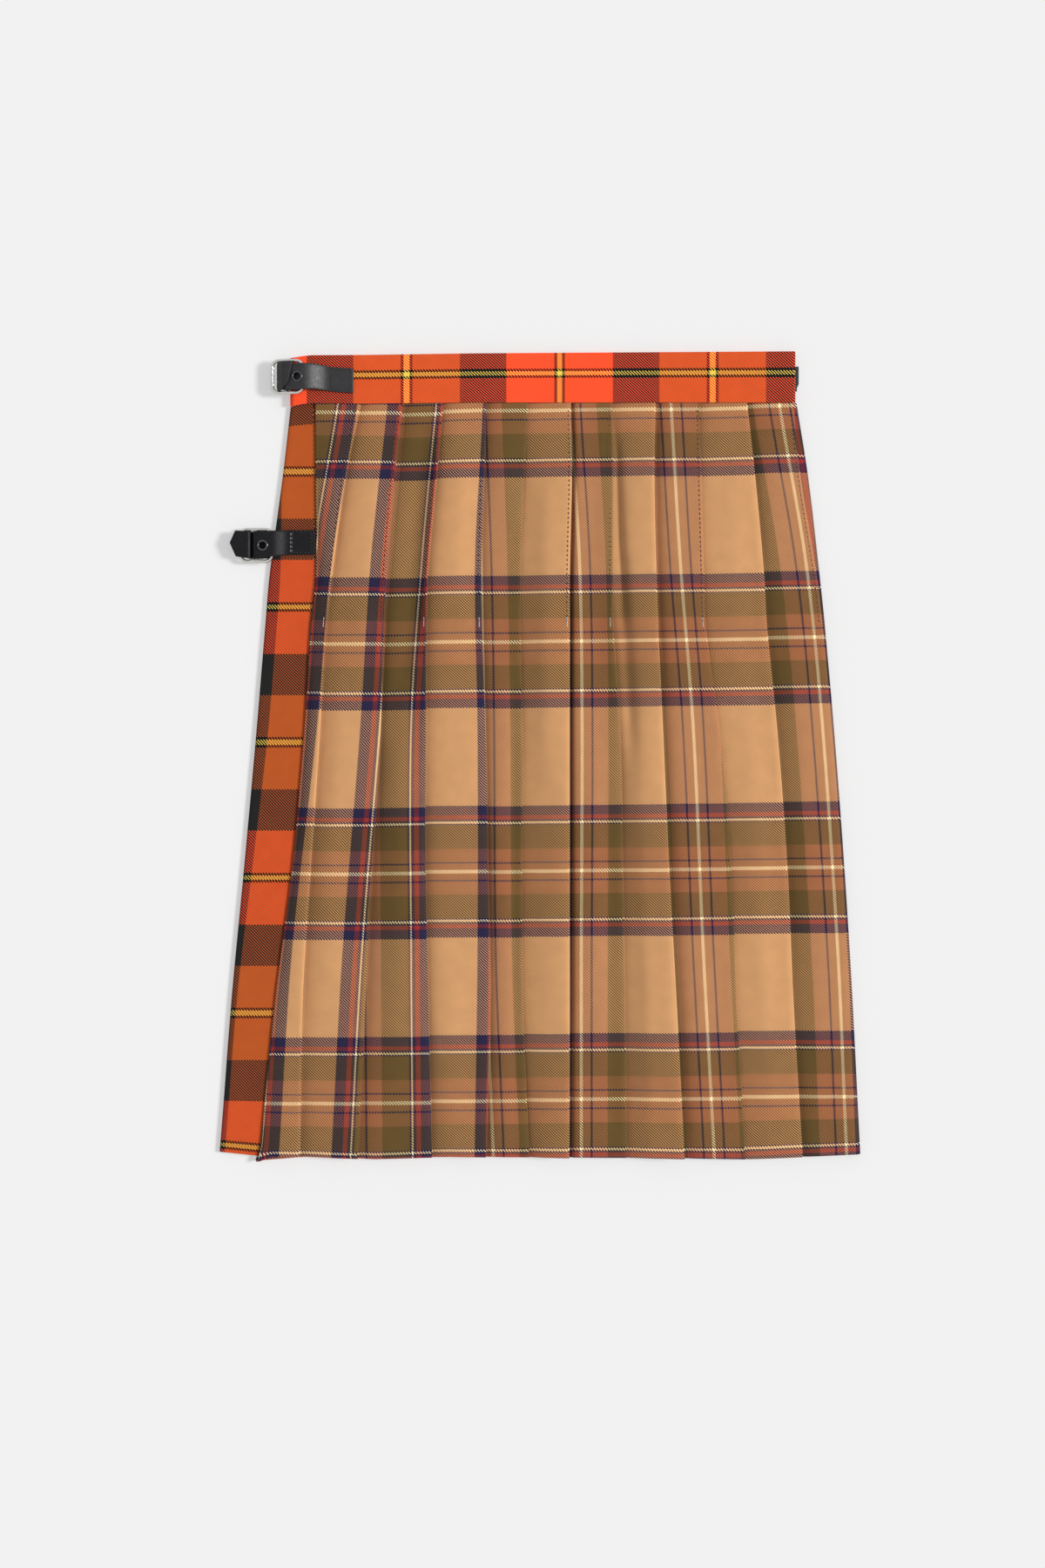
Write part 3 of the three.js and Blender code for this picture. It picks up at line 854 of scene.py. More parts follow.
@dataclass(frozen=True)
class Pleat:
    """One fold line and the face that ends there.

    edge is x at HEIGHTS. lift is how far the free edge stands above the flat faces, by the yoke and at the
    hem, and late the share of the face's width where that lift starts, above and below the release. power is
    how steeply the face comes up from under its neighbour, after notch, a share of its width that lies deep.
    mark is the place of a known stripe on this face at MARK_HEIGHTS, stripe that stripe's distance from the
    sett's mirror line, and drop how far the level stripes lie below their nominal heights, at DROP_HEIGHTS.
    """

    edge: tuple[float, ...]
    lift: tuple[float, float]
    power: float
    stripe: float
    mark: tuple[float, ...]
    drop: tuple[float, float, float]
    late: tuple[float, float] = (0.0, 0.0)
    notch: float = 0.0

    def lift_at(self, y: np.ndarray) -> np.ndarray:
        """How far the free edge stands up at each height."""
        heights = (-HEIGHTS[0], -HEIGHTS[1], -RELEASE_Y, -HEM_Y)
        return np.interp(-y, heights, (PRESSED_LIFT, self.lift[0], self.lift[0], self.lift[1]))

    def profile(self, share: float, y: np.ndarray, foot: float) -> np.ndarray:
        """Height of the face's middle surface, before creases.

        Args:
            share: How far across the face, from 0 to 1.
            y: Heights of the rows.
            foot: Height at which the face starts.

        Returns:
            Heights above the surface, in millimetres.
        """
        late = np.interp(-y, (-RELEASE_Y, -LATE_BELOW_Y), self.late)
        early = 1 - (1 - share) ** EARLY_BEND
        ending = np.clip((share - late) / (1 - late), 0, 1) ** LATE_BEND
        grown = early + (ending - early) * np.clip(late / LATE_BLEND, 0, 1)
        climb = max(share - self.notch, 0.0) / (1 - self.notch)
        risen = (FACE_Z - foot) * (1 - (1 - climb) ** self.power)
        return foot + risen + self.lift_at(y) * grown


MARK_HEIGHTS = (219.4, 126.6, 19.3, -131.5, -250.4)
DROP_HEIGHTS = (190.0, 0.0, -190.0)
CLOTH_EDGE = (-149.4, -149.1, -149.1, -152.5, -157.2, -165.3, -176.3, -186.5)
DARK_COLUMN = (-4.0, 0.0, 7.6, 8.2, 8.2, 5.9, 4.1, 4.0)
NAVY_EDGE = 50.2
PLAIN = 88.0

# The eleven faces from left to right, each ending at its own free edge
PLEATS = (
    Pleat(edge=(-120.1, -129.6, -138.6, -142.7, -147.0, -153.1, -158.3, -160.1),
          lift=(2.8, 2.8), power=4.0,
          stripe=NAVY_EDGE - 7.4, mark=(-131.7, -146.7, -156.0, -172.8, -180.4), drop=(0.2, 1.2, 1.0)),
    Pleat(edge=(-92.2, -97.4, -102.7, -104.4, -106.7, -112.8, -116.6, -121.5),
          lift=(2.6, 3.2), power=4.0, notch=0.02,
          stripe=-NAVY_EDGE, mark=(-102.7, -112.5, -119.2, -131.1, -137.6), drop=(0.5, 1.9, 0.9)),
    Pleat(edge=(-65.0, -69.0, -74.8, -75.7, -76.3, -76.3, -74.5, -72.1),
          lift=(5.4, 2.0), power=5.0, late=(0.6, 0.0), notch=0.03,
          stripe=37.1, mark=(-70.8, -79.2, -86.2, -86.2, -85.3), drop=(1.7, 1.3, 0.5)),
    Pleat(edge=(-36.2, -37.7, -39.4, -38.9, -36.5, -34.8, -33.6, -36.2),
          lift=(0.2, 2.6), power=5.0,
          stripe=-NAVY_EDGE, mark=(-38.3, -42.9, -41.2, -41.2, -42.9), drop=(-0.3, 0.0, -0.6)),
    Pleat(edge=(-8.4, -11.0, -13.3, -13.3, -11.7, -12.2, -11.6, -7.3),
          lift=(0.3, 0.2), power=5.0, notch=0.02,
          stripe=6.6, mark=(-36.0, -32.5, -30.7, -29.6, -24.9), drop=(-0.4, 0.4, -0.7)),
    Pleat(edge=(20.3, 20.9, 19.5, 19.5, 19.3, 19.4, 19.4, 19.0),
          lift=(5.3, 5.4), power=2.0,
          stripe=PLAIN, mark=(6.0, 4.0, 4.0, 4.0, 5.0), drop=(-0.6, -0.1, -1.5)),
    Pleat(edge=(47.6, 48.1, 48.1, 48.4, 53.1, 54.8, 56.0, 57.4),
          lift=(1.8, 0.3), power=30.0, late=(0.5, 0.0), notch=0.04,
          stripe=0.0, mark=(20.9, 26.5, 28.1, 27.6, 27.6), drop=(-1.0, -0.5, -2.0)),
    Pleat(edge=(76.6, 75.7, 77.1, 78.3, 81.8, 85.8, 90.5, 95.7),
          lift=(4.9, 5.8), power=3.0, notch=0.02,
          stripe=PLAIN, mark=(62.0, 63.0, 68.0, 72.0, 77.0), drop=(-1.3, -0.9, -2.0)),
    Pleat(edge=(106.1, 107.3, 109.0, 110.2, 120.1, 127.0, 130.5, 136.6),
          lift=(0.1, 0.1), power=8.0, notch=0.05,
          stripe=0.0, mark=(88.2, 93.7, 102.1, 108.9, 115.4), drop=(-1.3, -1.5, -2.2)),
    Pleat(edge=(137.8, 143.0, 148.9, 150.8, 158.3, 164.7, 168.5, 174.6),
          lift=(1.0, 0.8), power=4.0, late=(0.3, 0.3),
          stripe=PLAIN, mark=(122.0, 128.0, 138.0, 147.0, 155.0), drop=(-1.7, -1.9, -3.5)),
    Pleat(edge=(168.2, 173.4, 183.9, 187.9, 194.8, 201.4, 206.6, 211.7),
          lift=(0.0, 0.3), power=6.0, notch=0.03,
          stripe=0.0, mark=(161.8, 177.5, 188.2, 198.4, 203.6), drop=(-3.5, -2.9, -3.5)),
)


# How far a crease runs on past its ends, and how long it fades there, as shares of its length
CREASE_RUN_ON = 0.2
CREASE_FADE = 0.35


@dataclass(frozen=True)
class Crease:
    """A soft ridge, or a trough where its height is below nothing, between two points of the cloth."""

    x0: float
    y0: float
    x1: float
    y1: float
    height: float
    reach: float

    def raise_by(self, x: np.ndarray, y: np.ndarray) -> np.ndarray:
        """Height that this crease adds at each place.

        Args:
            x: Across the kilt, in millimetres.
            y: Towards the waist.

        Returns:
            Heights in millimetres.
        """
        s = np.clip((y - self.y0) / (self.y1 - self.y0), -CREASE_RUN_ON, 1 + CREASE_RUN_ON)
        middle = self.x0 + (self.x1 - self.x0) * np.clip(s, 0, 1)
        start = np.clip((s + CREASE_RUN_ON) / CREASE_FADE, 0, 1)
        ends = start * np.clip((1 + CREASE_RUN_ON - s) / CREASE_FADE, 0, 1)
        return self.height * np.exp(-(((x - middle) / self.reach) ** 2)) * ends


CREASES = (
    Crease(48.5, 215, 54.0, 105, -5.0, 3.6),
    Crease(54.5, 118, 60.5, 10, -2.2, 4.4),
    Crease(-17.5, 60, -15.5, -262, -0.9, 3.6),
    Crease(-51.0, 200, -52.0, 90, 0.7, 9.0),
    Crease(-108.0, 190, -122.0, 60, 0.6, 7.0),
    Crease(-132.0, 60, -143.0, -120, 0.5, 6.0),
    Crease(46.0, -20, 50.0, -262, -0.8, 4.2),
    Crease(68.0, -40, 74.0, -262, 0.6, 5.0),
    Crease(5.0, 180, 3.0, 20, 0.7, 6.5),
    Crease(34.0, 40, 36.0, -200, 0.5, 6.0),
    Crease(128.0, 190, 134.0, 30, 0.6, 8.0),
    Crease(142.0, -10, 152.0, -230, 0.7, 8.0),
    Crease(170.0, 60, 188.0, -200, 0.6, 8.0),
    Crease(-92.0, 40, -97.0, -230, 0.6, 7.0),
)


# Slow waves of the pressed cloth: one length across and one down for each, in millimetres
WAVES = ((9.1, 61.0), (-15.0, 37.0), (29.0, 23.0))


@dataclass
class PleatedCloth:
    """The brown cloth: turned left edge, eleven pleats, right side fold and plain under apron."""

    thickness: float = 0.8
    rows: int = 122
    depth_share: float = 0.5
    edge_round: float = 0.45
    rise_start: float = 0.6
    turn_under: float = 3.5
    first_fold_clear: float = 5.2
    first_foot: float = 4.9
    ply_pitch: float = 1.2
    lowest_ply: float = 3.95
    under_inset: float = 26.0
    waviness: float = 0.2
    face_steps: int = 17
    crowding: float = 1.5
    fold_steps: int = 5
    back_steps: int = 3
    ply_shares: tuple[float, ...] = (0.35, 0.7, 1.0)
    under_steps: int = 12
    edge_ease: float = 0.6
    pressed_length: float = 30.0
    drop_lean: float = 0.3
    curl: tuple[float, float, float] = (-3.0, -5.0, 0.8)
    curl_reach: float = 5.5
    curl_from: float = -257.0
    curl_height: float = 11.0

    def relief(self, x: np.ndarray, y: np.ndarray, share: float) -> np.ndarray:
        """Height of the folds and waves on a face.

        Args:
            x: Across the kilt.
            y: Towards the waist.
            share: How far across its own face the station is, from 0 to 1.

        Returns:
            Heights to add, in millimetres.
        """
        total = sum(crease.raise_by(x, y) for crease in CREASES)
        waves = sum(np.sin(x / across + y / down) for across, down in WAVES)
        ease = max(math.sin(math.pi * share), 0.0) ** self.edge_ease
        free = np.clip((HEIGHTS[0] - y) / self.pressed_length, 0, 1)
        return (total + self.waviness * waves) * ease * free

    def span(self, number: int, y: np.ndarray) -> tuple[np.ndarray, np.ndarray]:
        """Where a face starts and where its free edge starts to round, x in each row."""
        before = along(PLEATS[number - 1].edge if number else CLOTH_EDGE, y)
        start = before + (self.rise_start if number else PITCH)
        return start, along(PLEATS[number].edge, y) - self.edge_round

    def surface(self, number: int, share: float, y: np.ndarray) -> tuple[np.ndarray, np.ndarray]:
        """Place of a face's middle surface.

        Args:
            number: Which pleat.
            share: How far across its face, from 0 to 1.
            y: Heights of the rows.

        Returns:
            x and z of each row.
        """
        start, end = self.span(number, y)
        x = start + (end - start) * share
        foot = BASE_Z if number else self.first_foot
        z = PLEATS[number].profile(share, y, foot) + self.relief(x, y, share)
        return x, np.maximum(z, foot)

    def section(self, y: np.ndarray) -> Section:
        """The cloth's whole middle line at each height.

        Args:
            y: Heights of the rows.

        Returns:
            The line from the turned left edge to the under apron's free edge.
        """
        line = Section(len(y))
        half = PITCH / 2
        left = along(CLOTH_EDGE, y)
        first_mark = smooth(np.array(MARK_HEIGHTS), np.array(PLEATS[0].mark), y)
        turned = PLEATS[0].stripe + left - first_mark - half * math.pi
        bend = (self.first_foot - self.lowest_ply) / 2
        line.put(left + self.turn_under, self.lowest_ply, turned - self.turn_under)
        line.put(left + half, self.lowest_ply, turned - half)
        line.turn((left + half, self.lowest_ply + bend), (half, bend), (270, 90), self.fold_steps)
        for number, pleat in enumerate(PLEATS):
            start, end = self.span(number, y)
            mark = smooth(np.array(MARK_HEIGHTS), np.array(pleat.mark), y)
            for k in range(self.face_steps):
                x, z = self.surface(number, (k / (self.face_steps - 1)) ** self.crowding, y)
                line.put(x, z, pleat.stripe + x - mark)
            depth = self.depth_share * (end - start)
            if number == 0:
                depth = np.minimum(depth, end - start - self.first_fold_clear)
            down = self.ply_pitch / 2
            line.turn((end, z - down), (self.edge_round, down), (90, -90), self.fold_steps)
            for s in self.ply_shares:
                share = 1 - self.depth_share * s
                x, z = self.surface(number, share, y)
                ply = np.maximum(z - self.ply_pitch, self.lowest_ply)
                line.follow(end - depth * s, ply)
            line.turn((end - depth, (ply + BASE_Z) / 2), (half, (ply - BASE_Z) / 2), (90, 270),
                      self.back_steps)
        right = along(RIGHT, y)
        line.follow(right - half, BASE_Z)
        line.turn((right - half, UNDER_Z + half), (half, half), (90, -90), self.fold_steps)
        line.run(along(LEFT, y) + self.under_inset, self.under_steps)
        return line

    def drops(self, x: np.ndarray, y: np.ndarray) -> np.ndarray:
        """How far the level stripes lie below their nominal heights.

        Args:
            x: Across the kilt, rows by stations.
            y: Towards the waist.

        Returns:
            Distances in millimetres.
        """
        heights = y[:, 0]
        previous = along(CLOTH_EDGE, heights)
        result = np.zeros_like(x)
        values = [np.interp(-heights, [-h for h in DROP_HEIGHTS], pleat.drop) for pleat in PLEATS]
        for number, pleat in enumerate(PLEATS):
            edge = along(pleat.edge, heights)
            before = values[max(number - 1, 0)]
            after = values[min(number + 1, len(PLEATS) - 1)]
            share = np.clip((x - previous[:, None]) / (edge - previous)[:, None], 0, 1)
            here = values[number][:, None] + self.drop_lean * (after - before)[:, None] * (share - 0.5)
            inside = (x >= previous[:, None]) if number else np.ones_like(x, bool)
            result = np.where(inside, here, result)
            previous = edge
        return result

    def grid(self) -> Grid:
        """The cloth's middle surface.

        Returns:
            The grid, with its upper edge under the waistband and its lower edge on the hem line.
        """
        levels = row_heights(self.rows)
        x, z, u = self.section(levels).arrays()
        y = np.repeat(levels[:, None], x.shape[1], axis=1)
        v = y + self.drops(x, y)
        y = fit_ends(x, y)
        near = np.exp(-(((x - CLOTH_EDGE[-1]) / self.curl_reach) ** 2))
        corner = near * np.clip((self.curl_from - y) / self.curl_height, 0, 1) ** 2
        across, down, up = (shift * corner for shift in self.curl)
        return Grid(x + across, y + down, z + up, u, v)

    def build(self) -> None:
        """Make the brown cloth and say how it was cut."""
        finish = Tartan("brown_tartan", BROWN_WARP, BROWN_WEFT, along_from=76.1).material()
        grid = self.grid()
        piece = register(grid.piece("brown_cloth", self.thickness, finish), Slot.BROWN, "pleated_cloth")
        grid.declare(piece, "orange_apron")


@dataclass
class FrontApron:
    """The orange cloth: flat on the surface, folded round the left side, its strip on the back."""

    thickness: float = 0.9
    rows: int = 110
    inset: float = 22.0
    lap: float = 4.0
    front_steps: int = 30
    fold_steps: int = 8
    slit: tuple[float, float, float] = (5.0, 9.1, 0.7)

    def grid(self) -> Grid:
        """The apron's middle surface.

        Returns:
            The grid, from its free edge below to the edge that is sewn under the brown cloth.
        """
        levels = row_heights(self.rows)
        around = (BASE_Z - FRONT_Z) / 2
        bend = along(LEFT, levels) + 0.5 + around
        line = Section(len(levels))
        line.put(along(RIGHT, levels) - self.inset, FRONT_Z, 0.0)
        line.run(bend, self.front_steps)
        line.turn((bend, FRONT_Z + around), (around, around), (270, 90), self.fold_steps)
        line.run(along(CLOTH_EDGE, levels) + self.lap, self.fold_steps)
        x, z, u = line.arrays()
        y = np.repeat(levels[:, None], x.shape[1], axis=1)
        fold = self.front_steps + self.fold_steps // 2
        u = u - u[:, fold:fold + 1] - along(DARK_COLUMN, levels)[:, None]
        return Grid(x, fit_ends(x, y), z, u, y)

    def build(self) -> None:
        """Make the front apron with the slit for the hip strap."""
        # The apron's colours are darkened by gain 0.86 as painted shade, because its strip lies lower than the
        # band
        finish = Tartan("orange_tartan", ORANGE_WARP, ORANGE_WEFT, across_from=35.4, along_from=189.8,
                        shade_gain=0.86, valley_shade_share=0.09).material()
        grid = self.grid()
        piece = grid.piece("orange_apron", self.thickness, finish)
        slit_x = float(along(LEFT, np.array([HIP.frame[1]]))[0])
        Bench.slit(piece, (slit_x + 1.0, HIP.frame[1], UNDER_Z), self.slit)
        register(piece, Slot.ORANGE, "front_apron")
        grid.declare(piece, "floor")


@dataclass
class Waistband:
    """The band: along the front, round the left end, across the back, round the right end, and under it."""

    thickness: float = 1.9
    front_end: float = 150.0
    under_end: float = -145.0
    left: float = -166.5
    right: float = 170.3
    inset: float = 1.0
    cut_height: float = 34.0
    height_steps: int = 12
    stretch_steps: tuple[int, int, int] = (40, 60, 40)
    slit: tuple[float, float, float] = (5.0, 9.1, 1.0)

    def line(self) -> Section:
        """The band's middle line."""
        made = Section(1)
        front, back, under = self.stretch_steps
        left_round, right_round = (BAND_BACK_Z - BAND_FRONT_Z) / 2, (BAND_BACK_Z - BAND_UNDER_Z) / 2
        left_at, right_at = self.left + self.inset + left_round, self.right - self.inset - right_round
        made.put(self.front_end, BAND_FRONT_Z, 0.0)
        made.run(left_at, front)
        made.turn((left_at, BAND_FRONT_Z + left_round), (left_round, left_round), (270, 90), 12)
        made.run(right_at, back)
        made.turn((right_at, BAND_UNDER_Z + right_round), (right_round, right_round), (90, -90), 10)
        made.run(self.under_end, under)
        return made

    def grid(self) -> Grid:
        """The band's middle surface, from its seam to its upper edge."""
        x, z, u = self.line().arrays()
        count = self.height_steps + 1
        share = np.linspace(0, 1, count)[:, None]
        x, z, u = (np.repeat(a, count, axis=0) for a in (x, z, u))
        seam, top = np.interp(x, BAND_X, BAND_SEAM), np.interp(x, BAND_X, BAND_TOP)
        y = seam + (top - seam) * share
        v = np.repeat(share * self.cut_height, x.shape[1], axis=1)
        start = int(np.argmin(np.abs(x[0, :self.stretch_steps[1]] - self.left)))
        return Grid(x, y, z, u - u[:, start:start + 1], v)

    def build(self) -> None:
        """Make the waistband."""
        finish = Tartan("orange_band", ORANGE_WARP, ORANGE_WEFT, across_from=78.0, along_from=-70.2,
                        twill=(2.0, 1.9), valley_shade_share=0.09).material()
        grid = self.grid()
        piece = grid.piece("orange_waistband", self.thickness, finish)
        Bench.slit(piece, (self.left + 1.0, WAIST.frame[1], BAND_UNDER_Z), self.slit)
        register(piece, Slot.ORANGE, "waistband")
        grid.declare(piece, "floor")


class Route:
    """Middle line of a strap seen from its side, as points x and z in millimetres."""

    def __init__(self, x: float, z: float) -> None:
        """Start the line at a point."""
        self.points: list[tuple[float, float]] = [(x, z)]

    def to(self, x: float, z: float, steps: int = 1) -> None:
        """Go straight to a point in equal steps."""
        x0, z0 = self.points[-1]
        self.points += [(x0 + (x - x0) * k / steps, z0 + (z - z0) * k / steps) for k in range(1, steps + 1)]

    def rise(self, x: float, z: float, steps: int) -> None:
        """Go to a point along a soft S."""
        x0, z0 = self.points[-1]
        for k in range(1, steps + 1):
            s = k / steps
            self.points.append((x0 + (x - x0) * s, z0 + (z - z0) * s * s * (3 - 2 * s)))

    def turn(self, centre: tuple[float, float], radius: float, angles: tuple[float, float],
             steps: int) -> None:
        """Follow an arc from one angle to another, in degrees."""
        for k in range(steps + 1):
            a = math.radians(angles[0] + (angles[1] - angles[0]) * k / steps)
            point = (centre[0] + radius * math.cos(a), centre[1] + radius * math.sin(a))
            if math.dist(point, self.points[-1]) > 0.01:
                self.points.append(point)


@dataclass
class Strap:
    """A leather strap, extruded edge by edge along its route.

    middle and width are tables of x against y or breadth, from the right end to the left one, in millimetres.
    """

    name: str
    route: Route
    middle: tuple[tuple[float, float], ...]
    width: tuple[tuple[float, float], ...]
    thickness: float = 1.5
    columns: int = 8
    rounding: float = 0.35

    @staticmethod
    def read(table: tuple[tuple[float, float], ...], x: float) -> float:
        """Value of a table at x."""
        rows = sorted(table)
        return float(np.interp(x, [row[0] for row in rows], [row[1] for row in rows]))

    def sheet(self) -> Piece:
        """Extrude the strap's middle surface.

        Returns:
            An open sheet with its place in its mesh.
        """
        stops = [(spot(x, self.read(self.middle, x), z), self.read(self.width, x) * MM)
                 for x, z in self.route.points]
        Bench.clear()
        bpy.ops.mesh.primitive_grid_add(x_subdivisions=1, y_subdivisions=self.columns, size=2.0)
        piece = Bench.started(self.name)
        Bench.edit(piece)
        for side, (place_to, breadth) in zip((-1.0, 1.0), stops[:2]):
            Bench.choose(piece, lambda co: abs(co.x - side) < 0.5)
            bpy.ops.transform.resize(value=(1, breadth / 2, 1), center_override=(side, 0, 0))
            bpy.ops.transform.translate(value=place_to - Vector((side, 0, 0)))
        for (place_from, before), (place_to, breadth) in zip(stops[1:], stops[2:]):
            bpy.ops.mesh.extrude_region_move(TRANSFORM_OT_translate={"value": place_to - place_from})
            if abs(breadth - before) > 1e-7:
                bpy.ops.transform.resize(value=(1, breadth / before, 1), center_override=place_to)
        Bench.face_out()
        return piece

    def trim(self, piece: Piece, corner: Vector, away: tuple[float, float, float],
             only: Test) -> None:
        """Cut one corner of the strap's end off.

        Args:
            piece: The sheet.
            corner: A point of the cut.
            away: Direction that is cut away.
            only: Test of a vertex's place, so that the cut stays at the end.
        """
        Bench.edit(piece)
        Bench.choose(piece, only)
        bpy.ops.mesh.bisect(plane_co=corner, plane_no=away, clear_outer=True)
        Bench.leave()

    def finish(self, piece: Piece, finish: Finish) -> Piece:
        """Give the sheet its thickness, rounded edges and leather."""
        Bench.thicken(piece, self.thickness)
        Bench.round_edges(piece, self.rounding, 2)
        Bench.soften(piece, 50)
        Bench.dress(piece, finish)
        return piece


class Needle:
    """One modelled stitch, copied along seams. Its ends dip by shares of its length and width."""

    bend_at: float = 0.28
    dip_from: float = 0.45
    dip: float = 0.55
    thin: float = 0.6

    def __init__(self, length: float, width: float) -> None:
        """Model the stitch: a short round thread whose two ends dip into the cloth.

        Args:
            length: From end to end, in millimetres.
            width: Its thickness.
        """
        Bench.clear()
        bpy.ops.mesh.primitive_cylinder_add(vertices=6, radius=width / 2, depth=length,
                                            rotation=(0.0, math.radians(90), 0.0))
        piece = Bench.started("stitch")
        Bench.edit(piece)
        for share in (-self.bend_at, self.bend_at):
            bpy.ops.mesh.select_all(action="SELECT")
            bpy.ops.mesh.bisect(plane_co=(share * length, 0, 0), plane_no=(1, 0, 0))
        Bench.choose(piece, lambda co: abs(co.x) > self.dip_from * length)
        bpy.ops.transform.translate(value=(0, 0, -self.dip * width))
        bpy.ops.transform.resize(value=(1, self.thin, self.thin), center_override=(0, 0, -self.dip * width))
        Bench.face_out()
        self.points = np.array([vertex.co[:] for vertex in piece.data.vertices])
        self.faces = [list(face.vertices) for face in piece.data.polygons]
        bpy.data.objects.remove(piece, do_unlink=True)

    def sew(self, name: str, places: list[tuple[float, float, float, float]],
            finish: Finish) -> Piece:
        """Copy the stitch to each place.

        Args:
            name: The piece's name.
            places: x, y, z in the tables' millimetres and the seam's direction in degrees.
            finish: The thread.

        Returns:
            One piece with all the stitches.
        """
        points, faces = [], []
        for x, y, z, degrees in places:
            a = math.radians(degrees)
            turn = np.array([[math.cos(a), math.sin(a), 0], [-math.sin(a), math.cos(a), 0], [0, 0, 1]])
            faces += [[corner + len(self.points) * (len(points)) for corner in face] for face in self.faces]
            points.append(self.points @ turn * MM + np.array(spot(x, y, z)))
        mesh = bpy.data.meshes.new(name)
        mesh.from_pydata(np.concatenate(points).tolist(), [], faces)
        mesh.materials.append(finish)
        piece = bpy.data.objects.new(name, mesh)
        bpy.context.scene.collection.objects.link(piece)
        Bench.soften(piece, 60)
        return piece


def seam(start: tuple[float, float], end: tuple[float, float], z: float, pitch: float) -> list:
    """Places of even stitches on a straight line.

    Args:
        start: x and y of its first end, in the tables' millimetres.
        end: x and y of its last end.
        z: Height of the threads.
        pitch: From one stitch to the next.

    Returns:
        A list of x, y, z and direction in degrees.
    """
    dx, dy = end[0] - start[0], end[1] - start[1]
    count = max(int(math.dist(start, end) / pitch), 1)
    angle = math.degrees(math.atan2(dy, dx))
    shares = [(k + 0.5) / count for k in range(count)]
    return [(start[0] + dx * s, start[1] + dy * s, z, angle) for s in shares]


